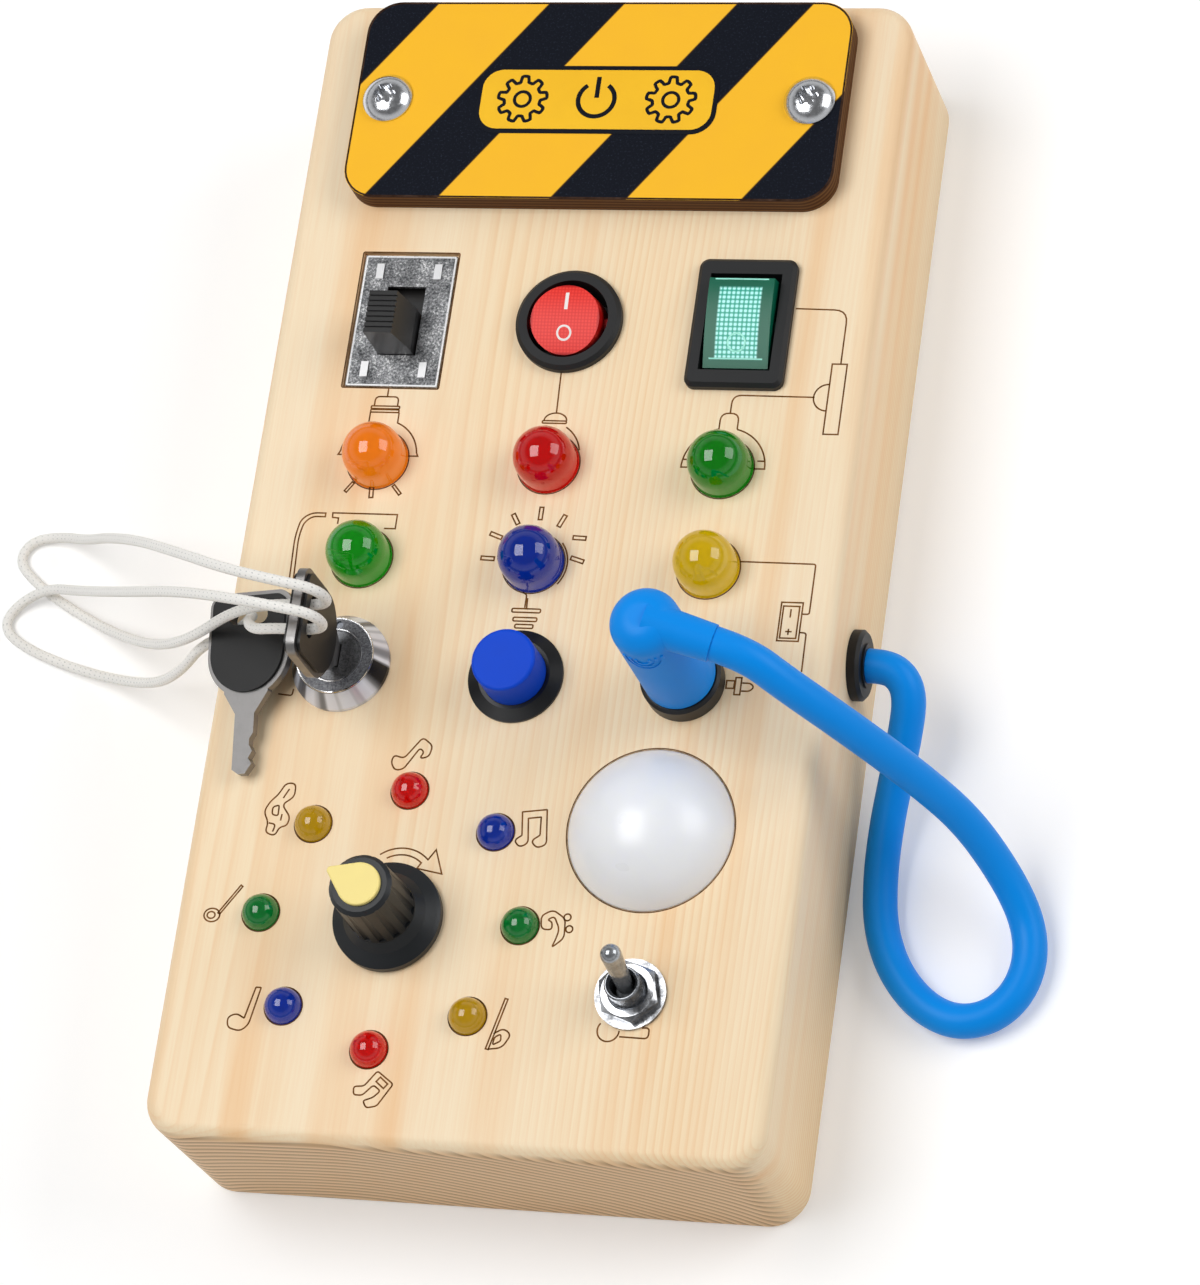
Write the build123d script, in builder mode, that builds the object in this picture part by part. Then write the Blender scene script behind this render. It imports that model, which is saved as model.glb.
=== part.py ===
"""Wooden switch board: a pine block with switches, lamps, a key lock and a plug lead.

The board lies on its back. X runs across it, Y along it towards the warning plate and Z up
out of its face. The origin is the centre of the back face. All sizes are in millimetres.
"""
import os
from math import cos, pi, radians, sin, tan

from build123d import *

os.makedirs("parts", exist_ok=True)

# Board
board_width = 127.0
board_length = 250.0
board_depth = 40.0
corner_radius = 8.0
face_round = 3.0
back_chamfer = 1.0
side_wall = 10.0
hollow_corner = 6.0
panel = 5.0
cover_thickness = 3.0
cover_margin = 4.0
cover_gap = 0.2

# Fits
running = 0.06
panel_fit = 0.15
clear = 0.35

# Layout on the face: rows from the middle, margins from the board's nearest edge
column_margin = 27.0
lock_margin = 26.5
jack_margin = 28.5
toggle_margin = 30.4
dome_gap = 2.8
ring_margin = 19.7
plate_margin = 2.5
knob_x = -18.4
switch_row = 51.4
lamp_row_upper = 20.0
lamp_row_lower = -1.7
lock_y = -25.0
button_y = -26.3
jack_y = -26.2
dome_y = -57.3
toggle_y = -91.3

# Warning plate and its screws
plate_width = 105.0
plate_length = 45.4
plate_thickness = 5.0
plate_corner = 7.0
screw_spacing = 91.0
screw_head_radius = 5.4
screw_head_height = 2.6
screw_head_edge = 0.5
screw_shank_radius = 2.0
screw_grip = 4.5
star_radius = 2.1
star_depth = 1.6

# Lamps
lamp_radius = 6.3
lamp_stand = 3.8
lamp_flange = 1.2
lamp_flange_thickness = 1.5
small_lamp_radius = 3.75
small_lamp_flange = 0.9
small_lamp_ring = 27.0
lead_radius = 0.4
lead_length = 9.0
lead_spacing = 2.54

# Slide switch
slide_plate_width = 19.9
slide_plate_length = 29.6
slide_plate_thickness = 0.8
slide_recess = 1.2
slide_recess_gap = 0.5
slide_body_width = 16.6
slide_body_length = 26.4
slide_body_height = 10.0
slide_wall = 1.2
slide_lug_spacing_x = 12.6
slide_lug_spacing_y = 22.2
slide_lug_width = 1.6
slide_lug_length = 3.4
slide_lug_height = 0.4
slot_width = 8.3
slot_length = 15.5
slider_width = 7.6
slider_length = 9.4
slider_height = 10.6
slider_foot = 2.4
slide_end_gap = 0.1
slider_ribs = 8
slider_rib_depth = 0.5

# Rocker switches
rocker_tilt = 11.0
bezel_height = 2.2
bezel_edge = 0.8
pivot_drop = 0.6
pivot_radius = 1.3
pivot_bite = 0.8
rocker_rise = 3.6
rocker_crown = 0.9
rocker_keel = 4.0
switch_depth = 17.0
switch_floor = 8.0
round_bezel_radius = 11.2
round_barrel_radius = 10.0
round_opening_radius = 8.6
round_rocker_radius = 7.3
green_bezel_width = 20.6
green_bezel_length = 28.5
green_barrel_width = 18.4
green_barrel_length = 25.2
green_opening_width = 15.0
green_opening_length = 21.4
green_rocker_width = 13.6
green_rocker_length = 18.8
blade_width = 4.8
blade_thickness = 0.8
blade_length = 6.0

# Key lock and keys
lock_flange_radius = 10.2
lock_face_radius = 8.1
lock_height = 5.0
lock_barrel_radius = 8.0
lock_barrel_length = 17.0
lock_plug_radius = 5.2
lock_nut_size = 19.0
lock_nut_thickness = 3.5
lock_block_height = 9.0
keyway_gap = 0.25
key_thickness = 1.8
key_blade_width = 4.4
key_blade_length = 12.5
key_shoulder_width = 10.0
key_shoulder_length = 4.4
key_bow_width = 18.5
key_bow_length = 22.0
key_bow_corner = 3.0
key_rim = 1.0
key_grip_thickness = 3.4
key_slot_length = 8.8
key_slot_width = 3.6
key_slot_inset = 5.2
key_tip_width = 1.4
key_tip_rise = 1.0
bit_depth = 0.8
lock_tab_spacing = 7.0
lock_tab_length = 4.0

# Push button
button_bezel_radius = 9.85
button_bezel_height = 1.6
button_barrel_radius = 8.0
button_depth = 19.0
button_cap_radius = 6.6
button_cap_height = 9.8
button_cap_edge = 0.7
button_stem_radius = 2.0
button_nut_size = 20.0
button_nut_thickness = 3.0
spring_radius = 3.4
spring_wire = 0.4

# Jack socket and plug
jack_ring_radius = 8.25
jack_ring_height = 4.4
jack_ring_edge = 0.6
jack_barrel_radius = 5.5
jack_depth = 29.0
jack_nut_size = 14.0
jack_nut_thickness = 2.5
pin_radius = 3.15
pin_length = 28.0
boot_radius = 7.4
boot_top_radius = 7.0
boot_top_round = 4.9
boot_height = 31.25
boot_outlet_radius = 4.3
boot_outlet_end_radius = 3.8
boot_outlet_length = 14.0
boot_outlet_drop = 3.4
boot_outlet_turn = -12.0
boot_outlet_fall = -14.0
boot_ridges = 3
boot_ridge_width = 8.0
boot_ridge_length = 9.0
boot_ridge_pitch = 1.2
boot_ridge_line = 0.5
boot_ridge_height = 0.3
boot_ridge_drop = 6.0

# Cable and grommet
cable_diameter = 7.0
cable_exit_run = 4.0
cable_boot_run = 7.0
grommet_y = -13.5
grommet_z = 20.0
grommet_flange_radius = 7.2
grommet_flange_thickness = 2.5
grommet_barrel_radius = 5.2
grommet_nose = 0.4

# White lamp dome
dome_radius = 16.8
dome_height = 11.0
dome_wall = 1.6
dome_flange = 1.6
dome_flange_thickness = 1.4
dome_board_thickness = 1.6
dome_chip = 5.0

# Toggle switch
toggle_bushing_radius = 3.6
toggle_bushing_height = 7.6
toggle_ball_radius = 2.5
toggle_ball_height = 2.2
toggle_lever_radius = 1.6
toggle_tip_radius = 2.1
toggle_lever_length = 17.0
toggle_tilt = 10.0
toggle_washer_radius = 7.2
toggle_washer_thickness = 0.8
toggle_nut_size = 10.0
toggle_nut_thickness = 2.2
toggle_body_width = 8.6
toggle_body_length = 13.2
toggle_body_height = 11.0

# Rotary switch and knob
knob_skirt_radius = 11.15
knob_skirt_height = 2.0
knob_gap = 0.5
knob_waist_radius = 6.9
knob_top_radius = 6.4
knob_height = 20.4
knob_flutes = 14
knob_flute_radius = 0.9
flute_start = 0.5
knob_edge = 0.8
skirt_edge = 0.4
flare_rise = 1.2
knob_flare = 1.6
knob_hollow_radius = 8.2
knob_hollow_height = 3.2
pointer_thickness = 0.9
pointer_radius = 4.4
pointer_reach = 7.3
pointer_angle = 157.5
shaft_radius = 3.0
shaft_engagement = 12.0
rotary_bushing_radius = 4.6
rotary_bushing_height = 2.8
rotary_nut_size = 13.0
rotary_nut_thickness = 2.0
rotary_body_radius = 13.0
rotary_body_height = 10.0

# Battery box
cell_radius = 5.25
cell_length = 43.5
cell_nub_radius = 1.9
cell_nub_length = 1.0
cell_count = 3
cell_gap = 0.5
contact_space = 3.2
contact_thickness = 0.5
box_wall = 1.6
box_gap = 0.9
box_flange = 2.0
box_flange_thickness = 1.6
box_screw_strip = 7.5
door_gap = 0.3
door_ribs = 4
door_rib_length = 14.0
door_rib_width = 1.2
door_rib_pitch = 4.0
door_rib_depth = 0.6
cover_screw_radius = 1.5
cover_screw_head = 2.5
cover_screw_length = 12.0

# White cord through the keys
cord_diameter = 2.2

# Levels and sizes that follow from the above
face = board_depth
under = face - panel
hollow_width = board_width - 2 * side_wall
hollow_length = board_length - 2 * side_wall
slot_half = key_slot_length / 2 - cord_diameter / 2 - 0.7
column = board_width / 2 - column_margin
lock_x = lock_margin - board_width / 2
jack_x = board_width / 2 - jack_margin
toggle_x = board_width / 2 - toggle_margin
dome_x = hollow_width / 2 - dome_gap - dome_flange - dome_radius
knob_y = ring_margin + small_lamp_ring - board_length / 2
plate_y = board_length / 2 - plate_margin - plate_length / 2


def floor_at(x, y, z):
    """A level plane through a point."""
    return Plane((x, y, z))


def upright(x, y, z):
    """A vertical plane across the board: its X is the board's X and its Y points up."""
    return Plane((x, y, z), x_dir=(1, 0, 0), z_dir=(0, -1, 0))


def side_on(x, y, z, tilt=0.0):
    """A vertical plane along the board: its X is the board's Y, raised at its far end by tilt."""
    return Plane((x, y, z), x_dir=(0, cos(radians(tilt)), sin(radians(tilt))), z_dir=(1, 0, 0))


def vertical(x, y):
    """The vertical axis through a point of the face."""
    return Axis((x, y, 0), (0, 0, 1))


def write(part, name):
    """Label a finished piece and write it as a STEP file of the same name."""
    part.label = name
    export_step(part, f"parts/{name}.step")


def on_circle(radius, angle):
    """A point on a circle about the origin, at an angle in degrees."""
    return radius * cos(radians(angle)), radius * sin(radians(angle))


# Lamp positions: six large ones in two rows, eight small ones in a ring about the knob
large_lamps = {
    "lamp_orange": (-column, lamp_row_upper),
    "lamp_red": (0.0, lamp_row_upper),
    "lamp_green_right": (column, lamp_row_upper),
    "lamp_green_left": (-column, lamp_row_lower),
    "lamp_blue": (0.0, lamp_row_lower),
    "lamp_yellow": (column, lamp_row_lower),
}
ring_colours = ["green", "blue", "red", "yellow"]
ring_count = 8
small_lamps = {colour: [] for colour in ring_colours}
for step in range(ring_count):
    dx, dy = on_circle(small_lamp_ring, step * 360 / ring_count)
    small_lamps[ring_colours[step % 4]].append((knob_x + dx, knob_y + dy))
every_small_lamp = [spot for spots in small_lamps.values() for spot in spots]
sign_screws = [(-screw_spacing / 2, plate_y), (screw_spacing / 2, plate_y)]

# Back cover screws sit in the middle of the ledge round the hollow
ledge_x = (hollow_width + board_width - 2 * cover_margin) / 4
ledge_y = (hollow_length + board_length - 2 * cover_margin) / 4
cover_screws = [(sx * ledge_x, sy * ledge_y * 0.9) for sx in (-1, 1) for sy in (-1, 0, 1)]

# Battery box: cells side by side, with a strip for the door's screw
cells_width = cell_count * (2 * cell_radius + cell_gap) + cell_gap
box_inside_x = cell_length + cell_nub_length + contact_space
box_inside_y = cells_width + box_screw_strip
box_depth = 2 * cell_radius + 2 * cell_gap
box_outside_x = box_inside_x + 2 * box_wall
box_outside_y = box_inside_y + 2 * box_wall
box_y = hollow_length / 2 - box_gap - box_flange - box_outside_y / 2
door_screw = (0.0, box_y + box_inside_y / 2 - box_screw_strip / 2)

# Block: a solid pine board, routed out from the back, with a hole for every fitting
with BuildPart() as block:
    with BuildSketch():
        RectangleRounded(board_width, board_length, corner_radius)
    extrude(amount=board_depth)
    fillet(block.faces().sort_by(Axis.Z)[-1].edges(), face_round)
    chamfer(block.faces().sort_by(Axis.Z)[0].edges(), back_chamfer)
    with BuildSketch():
        RectangleRounded(hollow_width, hollow_length, hollow_corner)
    extrude(amount=under, mode=Mode.SUBTRACT)
    with BuildSketch():
        RectangleRounded(
            board_width - 2 * cover_margin, board_length - 2 * cover_margin, corner_radius - cover_margin
        )
    extrude(amount=cover_thickness, mode=Mode.SUBTRACT)
    with BuildSketch(floor_at(0, 0, under)):
        with Locations(*large_lamps.values()):
            Circle(lamp_radius + panel_fit)
        with Locations(*every_small_lamp):
            Circle(small_lamp_radius + panel_fit)
        with Locations((-column, switch_row)):
            Rectangle(slide_body_width + 2 * panel_fit, slide_body_length + 2 * panel_fit)
        with Locations((0, switch_row)):
            Circle(round_barrel_radius + panel_fit)
        with Locations((column, switch_row)):
            Rectangle(green_barrel_width + 2 * panel_fit, green_barrel_length + 2 * panel_fit)
        with Locations((lock_x, lock_y)):
            Circle(lock_barrel_radius + panel_fit)
        with Locations((0, button_y)):
            Circle(button_barrel_radius + panel_fit)
        with Locations((jack_x, jack_y)):
            Circle(jack_barrel_radius + panel_fit)
        with Locations((dome_x, dome_y)):
            Circle(dome_radius + panel_fit)
        with Locations((toggle_x, toggle_y)):
            Circle(toggle_bushing_radius + panel_fit)
        with Locations((knob_x, knob_y)):
            Circle(rotary_bushing_radius + panel_fit)
        with Locations(*sign_screws):
            Circle(screw_shank_radius)
    extrude(amount=panel, mode=Mode.SUBTRACT)
    with BuildSketch(floor_at(-column, switch_row, face - slide_recess)):
        Rectangle(slide_plate_width + 2 * slide_recess_gap, slide_plate_length + 2 * slide_recess_gap)
    extrude(amount=slide_recess, mode=Mode.SUBTRACT)
    with BuildSketch(floor_at(0, 0, cover_thickness)):
        with Locations(*cover_screws):
            Circle(cover_screw_radius)
    extrude(amount=cover_screw_length - cover_thickness, mode=Mode.SUBTRACT)
    with BuildSketch(floor_at(0, 0, cover_thickness)):
        with Locations(*large_lamps.values()):
            Circle(lamp_radius + lamp_flange + clear)
        with Locations(*every_small_lamp):
            Circle(small_lamp_radius + small_lamp_flange + clear)
        with Locations((dome_x, dome_y)):
            Circle(dome_radius + dome_flange + clear)
    extrude(amount=under - cover_thickness, mode=Mode.SUBTRACT)
    with BuildSketch(Plane((hollow_width / 2, grommet_y, grommet_z), x_dir=(0, 1, 0), z_dir=(1, 0, 0))):
        Circle(grommet_barrel_radius)
    extrude(amount=side_wall, mode=Mode.SUBTRACT)
write(block.part, "block")

# Back cover: thin plywood let into the back, with an opening for the battery door
with BuildPart() as back_cover:
    with BuildSketch():
        RectangleRounded(
            board_width - 2 * (cover_margin + cover_gap),
            board_length - 2 * (cover_margin + cover_gap),
            corner_radius - cover_margin,
        )
        with Locations((0, box_y)):
            Rectangle(box_outside_x, box_outside_y, mode=Mode.SUBTRACT)
    extrude(amount=cover_thickness)
    with Locations(*[Location((x, y, 0), (180, 0, 0)) for x, y in cover_screws]):
        CounterSinkHole(cover_screw_radius, cover_screw_head, cover_thickness)
write(back_cover.part, "back_cover")

# Countersunk screws of the cover and of the battery door, all of one kind
with BuildPart() as back_screws:
    for x, y in cover_screws + [door_screw]:
        with BuildSketch(upright(x, y, 0)):
            with BuildLine():
                Polyline(
                    (0, 0),
                    (cover_screw_head, 0),
                    (cover_screw_radius, cover_screw_head - cover_screw_radius),
                    (cover_screw_radius, cover_screw_length - 1),
                    (0, cover_screw_length),
                    close=True,
                )
            make_face()
        revolve(axis=vertical(x, y))
        with BuildSketch(floor_at(x, y, 0)):
            Rectangle(cover_screw_head, 0.6)
            Rectangle(0.6, cover_screw_head)
        extrude(amount=1.0, mode=Mode.SUBTRACT)
write(back_screws.part, "back_screws")

# Battery box: a tray open to the back, glued to the inside of the cover by its flange
with BuildPart() as battery_box:
    with BuildSketch(floor_at(0, box_y, cover_thickness)):
        Rectangle(box_outside_x + 2 * box_flange, box_outside_y + 2 * box_flange)
    extrude(amount=box_flange_thickness)
    with BuildSketch(floor_at(0, box_y, cover_thickness)):
        Rectangle(box_outside_x, box_outside_y)
    extrude(amount=box_depth + box_wall)
    with BuildSketch(floor_at(0, box_y - box_screw_strip / 2, cover_thickness)):
        Rectangle(box_inside_x, cells_width)
    extrude(amount=box_depth, mode=Mode.SUBTRACT)
    with BuildSketch(floor_at(*door_screw, cover_thickness)):
        Circle(cover_screw_radius)
    extrude(amount=cover_screw_length - cover_thickness, mode=Mode.SUBTRACT)
write(battery_box.part, "battery_box")

# Battery door: flush with the cover, resting on the box's walls
with BuildPart() as battery_door:
    with BuildSketch(floor_at(0, box_y, 0)):
        Rectangle(box_outside_x - 2 * door_gap, box_outside_y - 2 * door_gap)
    extrude(amount=cover_thickness)
    with BuildSketch(floor_at(0, box_y - box_screw_strip / 2, 0)):
        with GridLocations(0, door_rib_pitch, 1, door_ribs):
            Rectangle(door_rib_length, door_rib_width)
    extrude(amount=door_rib_depth, mode=Mode.SUBTRACT)
    with Locations(Location((*door_screw, 0), (180, 0, 0))):
        CounterSinkHole(cover_screw_radius, cover_screw_head, cover_thickness)
write(battery_door.part, "battery_door")

# Three cells, turned end for end by turns
cell_pitch = 2 * cell_radius + cell_gap
cell_z = cover_thickness + box_depth / 2
cells_y = box_y - box_screw_strip / 2
cell_rows = [cells_y + (row - (cell_count - 1) / 2) * cell_pitch for row in range(cell_count)]
with BuildPart() as battery_cells:
    for row, y in enumerate(cell_rows):
        way = 1 if row % 2 else -1
        with BuildSketch(Plane((-way * cell_length / 2, y, cell_z), x_dir=(0, 1, 0), z_dir=(way, 0, 0))):
            Circle(cell_radius)
        extrude(amount=cell_length)
        with BuildSketch(Plane((way * cell_length / 2, y, cell_z), x_dir=(0, 1, 0), z_dir=(way, 0, 0))):
            Circle(cell_nub_radius)
        extrude(amount=cell_nub_length)
write(battery_cells.part, "battery_cells")

# Contacts: a plate at each end of each cell, with a cone spring where the flat end meets it
spring_reach = (box_inside_x - cell_length) / 2 - contact_thickness
with BuildPart() as battery_contacts:
    for row, y in enumerate(cell_rows):
        way = 1 if row % 2 else -1
        for end in (-1, 1):
            wall = end * box_inside_x / 2
            with BuildSketch(Plane((wall, y, cell_z), x_dir=(0, 1, 0), z_dir=(-end, 0, 0))):
                Rectangle(2 * cell_radius - 1, 2 * cell_radius - 2)
            extrude(amount=contact_thickness)
            reach = spring_reach if end != way else spring_reach - cell_nub_length
            if reach > 0:
                start = wall - end * contact_thickness
                with BuildSketch(Plane((start, y, cell_z), x_dir=(0, 1, 0), z_dir=(-end, 0, 0))):
                    Circle(3.0 if end != way else cell_nub_radius)
                extrude(amount=reach, taper=25 if end != way else 0)
write(battery_contacts.part, "battery_contacts")

# Warning plate: painted plywood held by two screws
with BuildPart() as sign_plate:
    with BuildSketch(floor_at(0, plate_y, face)):
        RectangleRounded(plate_width, plate_length, plate_corner)
    extrude(amount=plate_thickness)
    with BuildSketch(floor_at(0, 0, face)):
        with Locations(*sign_screws):
            Circle(screw_shank_radius + panel_fit)
    extrude(amount=plate_thickness, mode=Mode.SUBTRACT)
write(sign_plate.part, "sign_plate")

# Pan-head screws with a star recess: one is turned about the origin, then set in both places
plate_top = face + plate_thickness
with BuildPart() as sign_screw:
    with BuildSketch(upright(0, 0, plate_top)):
        with BuildLine():
            foot = -plate_thickness - screw_grip
            Line((0, screw_head_height), (0, foot - 1))
            Line((0, foot - 1), (screw_shank_radius, foot))
            Line((screw_shank_radius, foot), (screw_shank_radius, 0))
            Line((screw_shank_radius, 0), (screw_head_radius, 0))
            Line((screw_head_radius, 0), (screw_head_radius, screw_head_edge))
            ThreePointArc(
                (screw_head_radius, screw_head_edge),
                (screw_head_radius * 0.72, screw_head_height * 0.77),
                (0, screw_head_height),
            )
        make_face()
    revolve(axis=vertical(0, 0))
    with BuildSketch(floor_at(0, 0, plate_top + screw_head_height - star_depth)):
        Circle(star_radius * 0.75)
        with PolarLocations(star_radius * 0.85, 6):
            Circle(star_radius * 0.3)
    extrude(amount=star_depth + 1, mode=Mode.SUBTRACT)
with BuildPart() as sign_screw_pair:
    with Locations(*sign_screws):
        add(sign_screw.part)
write(sign_screw_pair.part, "sign_screws")

# Large lamps: a moulded lens pushed through the panel from behind against its flange
for name, (x, y) in large_lamps.items():
    with BuildPart() as lamp:
        with BuildSketch(floor_at(x, y, under - lamp_flange_thickness)):
            Circle(lamp_radius + lamp_flange)
        extrude(amount=lamp_flange_thickness)
        with BuildSketch(floor_at(x, y, under)):
            Circle(lamp_radius)
        extrude(amount=panel + lamp_stand)
        with BuildSketch(upright(x, y, face + lamp_stand)):
            with BuildLine():
                Line((0, 0), (lamp_radius, 0))
                CenterArc((0, 0), lamp_radius, 0, 90)
                Line((0, lamp_radius), (0, 0))
            make_face()
        revolve(axis=vertical(x, y))
    write(lamp.part, name)

# Small lamps: half round above the face, four colours twice round the ring
for colour, spots in small_lamps.items():
    with BuildPart() as ring_lamps:
        with BuildSketch(floor_at(0, 0, under - lamp_flange_thickness)):
            with Locations(*spots):
                Circle(small_lamp_radius + small_lamp_flange)
        extrude(amount=lamp_flange_thickness)
        with BuildSketch(floor_at(0, 0, under)):
            with Locations(*spots):
                Circle(small_lamp_radius)
        extrude(amount=panel)
        for x, y in spots:
            with BuildSketch(upright(x, y, face)):
                with BuildLine():
                    Line((0, 0), (small_lamp_radius, 0))
                    CenterArc((0, 0), small_lamp_radius, 0, 90)
                    Line((0, small_lamp_radius), (0, 0))
                make_face()
            revolve(axis=vertical(x, y))
    write(ring_lamps.part, f"ring_lamps_{colour}")

# Wire leads of all the lamps
with BuildPart() as lamp_leads:
    with BuildSketch(floor_at(0, 0, under - lamp_flange_thickness)):
        with Locations(*large_lamps.values(), *every_small_lamp):
            with GridLocations(lead_spacing, 0, 2, 1):
                Circle(lead_radius)
    extrude(amount=-lead_length)
write(lamp_leads.part, "lamp_leads")

# Slide switch body: an open tray that carries the slider under the steel plate
slide_top = face - slide_recess
with BuildPart() as slide_switch_body:
    with BuildSketch(floor_at(-column, switch_row, slide_top)):
        Rectangle(slide_body_width, slide_body_length)
    extrude(amount=-slide_body_height)
    with BuildSketch(floor_at(-column, switch_row, slide_top)):
        Rectangle(slide_body_width - 2 * slide_wall, slide_body_length - 2 * slide_wall)
    extrude(amount=-(slider_foot + 2 * clear), mode=Mode.SUBTRACT)
write(slide_switch_body.part, "slide_switch_body")

# Slide switch plate: steel, let into the face, with four crimped tabs
with BuildPart() as slide_switch_plate:
    with BuildSketch(floor_at(-column, switch_row, slide_top)):
        Rectangle(slide_plate_width, slide_plate_length)
        Rectangle(slot_width, slot_length, mode=Mode.SUBTRACT)
    extrude(amount=slide_plate_thickness)
    with BuildSketch(floor_at(-column, switch_row, slide_top + slide_plate_thickness)):
        with GridLocations(slide_lug_spacing_x, slide_lug_spacing_y, 2, 2):
            Rectangle(slide_lug_width, slide_lug_length)
    extrude(amount=slide_lug_height)
write(slide_switch_plate.part, "slide_switch_plate")

# Slide knob: ribbed on top, bevelled on its right side, on a wide foot under the plate
slider_y = switch_row - slot_length / 2 + slide_end_gap + slider_length / 2
knob_top = face + slider_height
with BuildPart() as slide_knob:
    with BuildSketch(floor_at(-column, slider_y, slide_top - clear)):
        Rectangle(slot_width + 3, slot_length)
    extrude(amount=-slider_foot)
    with BuildSketch(floor_at(-column, slider_y, slide_top - clear)):
        Rectangle(slider_width, slider_length)
    extrude(amount=knob_top - slide_top + clear)
    with BuildSketch(upright(-column, slider_y - slider_length / 2, 0)):
        with BuildLine():
            Polyline(
                (slider_width / 2, face + 2),
                (slider_width / 2, knob_top),
                (slider_width / 2 - 1.6, knob_top),
                close=True,
            )
        make_face()
    extrude(amount=-slider_length, mode=Mode.SUBTRACT)
    rib_pitch = slider_length / slider_ribs
    with BuildSketch(floor_at(-column, slider_y, knob_top)):
        with GridLocations(0, rib_pitch, 1, slider_ribs - 1):
            Rectangle(slider_width, rib_pitch * 0.35)
    extrude(amount=-slider_rib_depth, mode=Mode.SUBTRACT)
write(slide_knob.part, "slide_knob")

# Round rocker switch: bezel and barrel in one, open at the top for the rocker
pivot_z = face - pivot_drop
with BuildPart() as round_switch_body:
    with BuildSketch(floor_at(0, switch_row, face)):
        Circle(round_bezel_radius)
    extrude(amount=bezel_height)
    chamfer(round_switch_body.faces().sort_by(Axis.Z)[-1].edges(), bezel_edge)
    with BuildSketch(floor_at(0, switch_row, face)):
        Circle(round_barrel_radius)
    extrude(amount=-switch_depth)
    with BuildSketch(floor_at(0, switch_row, face + bezel_height)):
        Circle(round_opening_radius)
    extrude(amount=-(bezel_height + switch_floor), mode=Mode.SUBTRACT)
    with BuildSketch(side_on(0, switch_row, pivot_z)):
        Circle(pivot_radius + running)
    extrude(amount=round_opening_radius + pivot_bite + running, both=True, mode=Mode.SUBTRACT)
write(round_switch_body.part, "round_switch_body")


def rocker_profile(reach):
    """The rocker's side view about its pivot: a crowned top over a shallow keel."""
    with BuildLine() as outline:
        ThreePointArc((-reach, rocker_rise), (0, rocker_rise + rocker_crown), (reach, rocker_rise))
        Polyline(
            (reach, rocker_rise),
            (reach, -1),
            (reach / 3, -rocker_keel),
            (-reach / 3, -rocker_keel),
            (-reach, -1),
            (-reach, rocker_rise),
        )
    return outline.line


# Round rocker: cut round about its own tilted axis, with two pivot pins
rocker_axis = (0, -sin(radians(rocker_tilt)), cos(radians(rocker_tilt)))
with BuildPart() as round_rocker:
    with BuildSketch(side_on(0, switch_row, pivot_z, rocker_tilt)):
        add(rocker_profile(round_rocker_radius))
        make_face()
    extrude(amount=round_rocker_radius, both=True)
    with BuildSketch(Plane((0, switch_row, pivot_z), x_dir=(1, 0, 0), z_dir=rocker_axis)):
        Circle(round_rocker_radius)
    extrude(amount=rocker_rise + rocker_keel + 4, both=True, mode=Mode.INTERSECT)
    with BuildSketch(side_on(0, switch_row, pivot_z)):
        Circle(pivot_radius)
    extrude(amount=round_opening_radius + pivot_bite, both=True)
write(round_rocker.part, "round_rocker")

# Oblong rocker switch: the same construction with a rectangular bezel
with BuildPart() as green_switch_body:
    with BuildSketch(floor_at(column, switch_row, face)):
        RectangleRounded(green_bezel_width, green_bezel_length, 2)
    extrude(amount=bezel_height)
    chamfer(green_switch_body.faces().sort_by(Axis.Z)[-1].edges(), bezel_edge)
    with BuildSketch(floor_at(column, switch_row, face)):
        Rectangle(green_barrel_width, green_barrel_length)
    extrude(amount=-switch_depth)
    with BuildSketch(floor_at(column, switch_row, face + bezel_height)):
        Rectangle(green_opening_width, green_opening_length)
    extrude(amount=-(bezel_height + switch_floor), mode=Mode.SUBTRACT)
    with BuildSketch(side_on(column, switch_row, pivot_z)):
        Circle(pivot_radius + running)
    extrude(amount=green_opening_width / 2 + pivot_bite + running, both=True, mode=Mode.SUBTRACT)
write(green_switch_body.part, "green_switch_body")

with BuildPart() as green_rocker:
    with BuildSketch(side_on(column, switch_row, pivot_z, rocker_tilt)):
        add(rocker_profile(green_rocker_length / 2))
        make_face()
    extrude(amount=green_rocker_width / 2, both=True)
    with BuildSketch(side_on(column, switch_row, pivot_z)):
        Circle(pivot_radius)
    extrude(amount=green_opening_width / 2 + pivot_bite, both=True)
write(green_rocker.part, "green_rocker")

# Blade terminals under both rocker switches
with BuildPart() as switch_terminals:
    for x in (0.0, column):
        with BuildSketch(floor_at(x, switch_row, face - switch_depth)):
            with GridLocations(0, 2.4 * blade_width / 1.6, 1, 3):
                Rectangle(blade_width, blade_thickness)
        extrude(amount=-blade_length)
write(switch_terminals.part, "switch_terminals")

# Key lock: a chromed barrel with a conical flange
lock_face = face + lock_height
with BuildPart() as lock_barrel:
    with BuildSketch(upright(lock_x, lock_y, face)):
        with BuildLine():
            Polyline(
                (lock_plug_radius + running, lock_height),
                (lock_face_radius, lock_height),
                (lock_flange_radius, 1.0),
                (lock_flange_radius, 0),
                (lock_barrel_radius, 0),
                (lock_barrel_radius, -lock_barrel_length),
                (lock_plug_radius + running, -lock_barrel_length),
                close=True,
            )
        make_face()
    revolve(axis=vertical(lock_x, lock_y))
    with BuildSketch(floor_at(lock_x, lock_y + (lock_face_radius + lock_plug_radius) / 2, lock_face)):
        Circle(0.8)
    extrude(amount=-0.5, mode=Mode.SUBTRACT)
write(lock_barrel.part, "lock_barrel")

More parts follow.
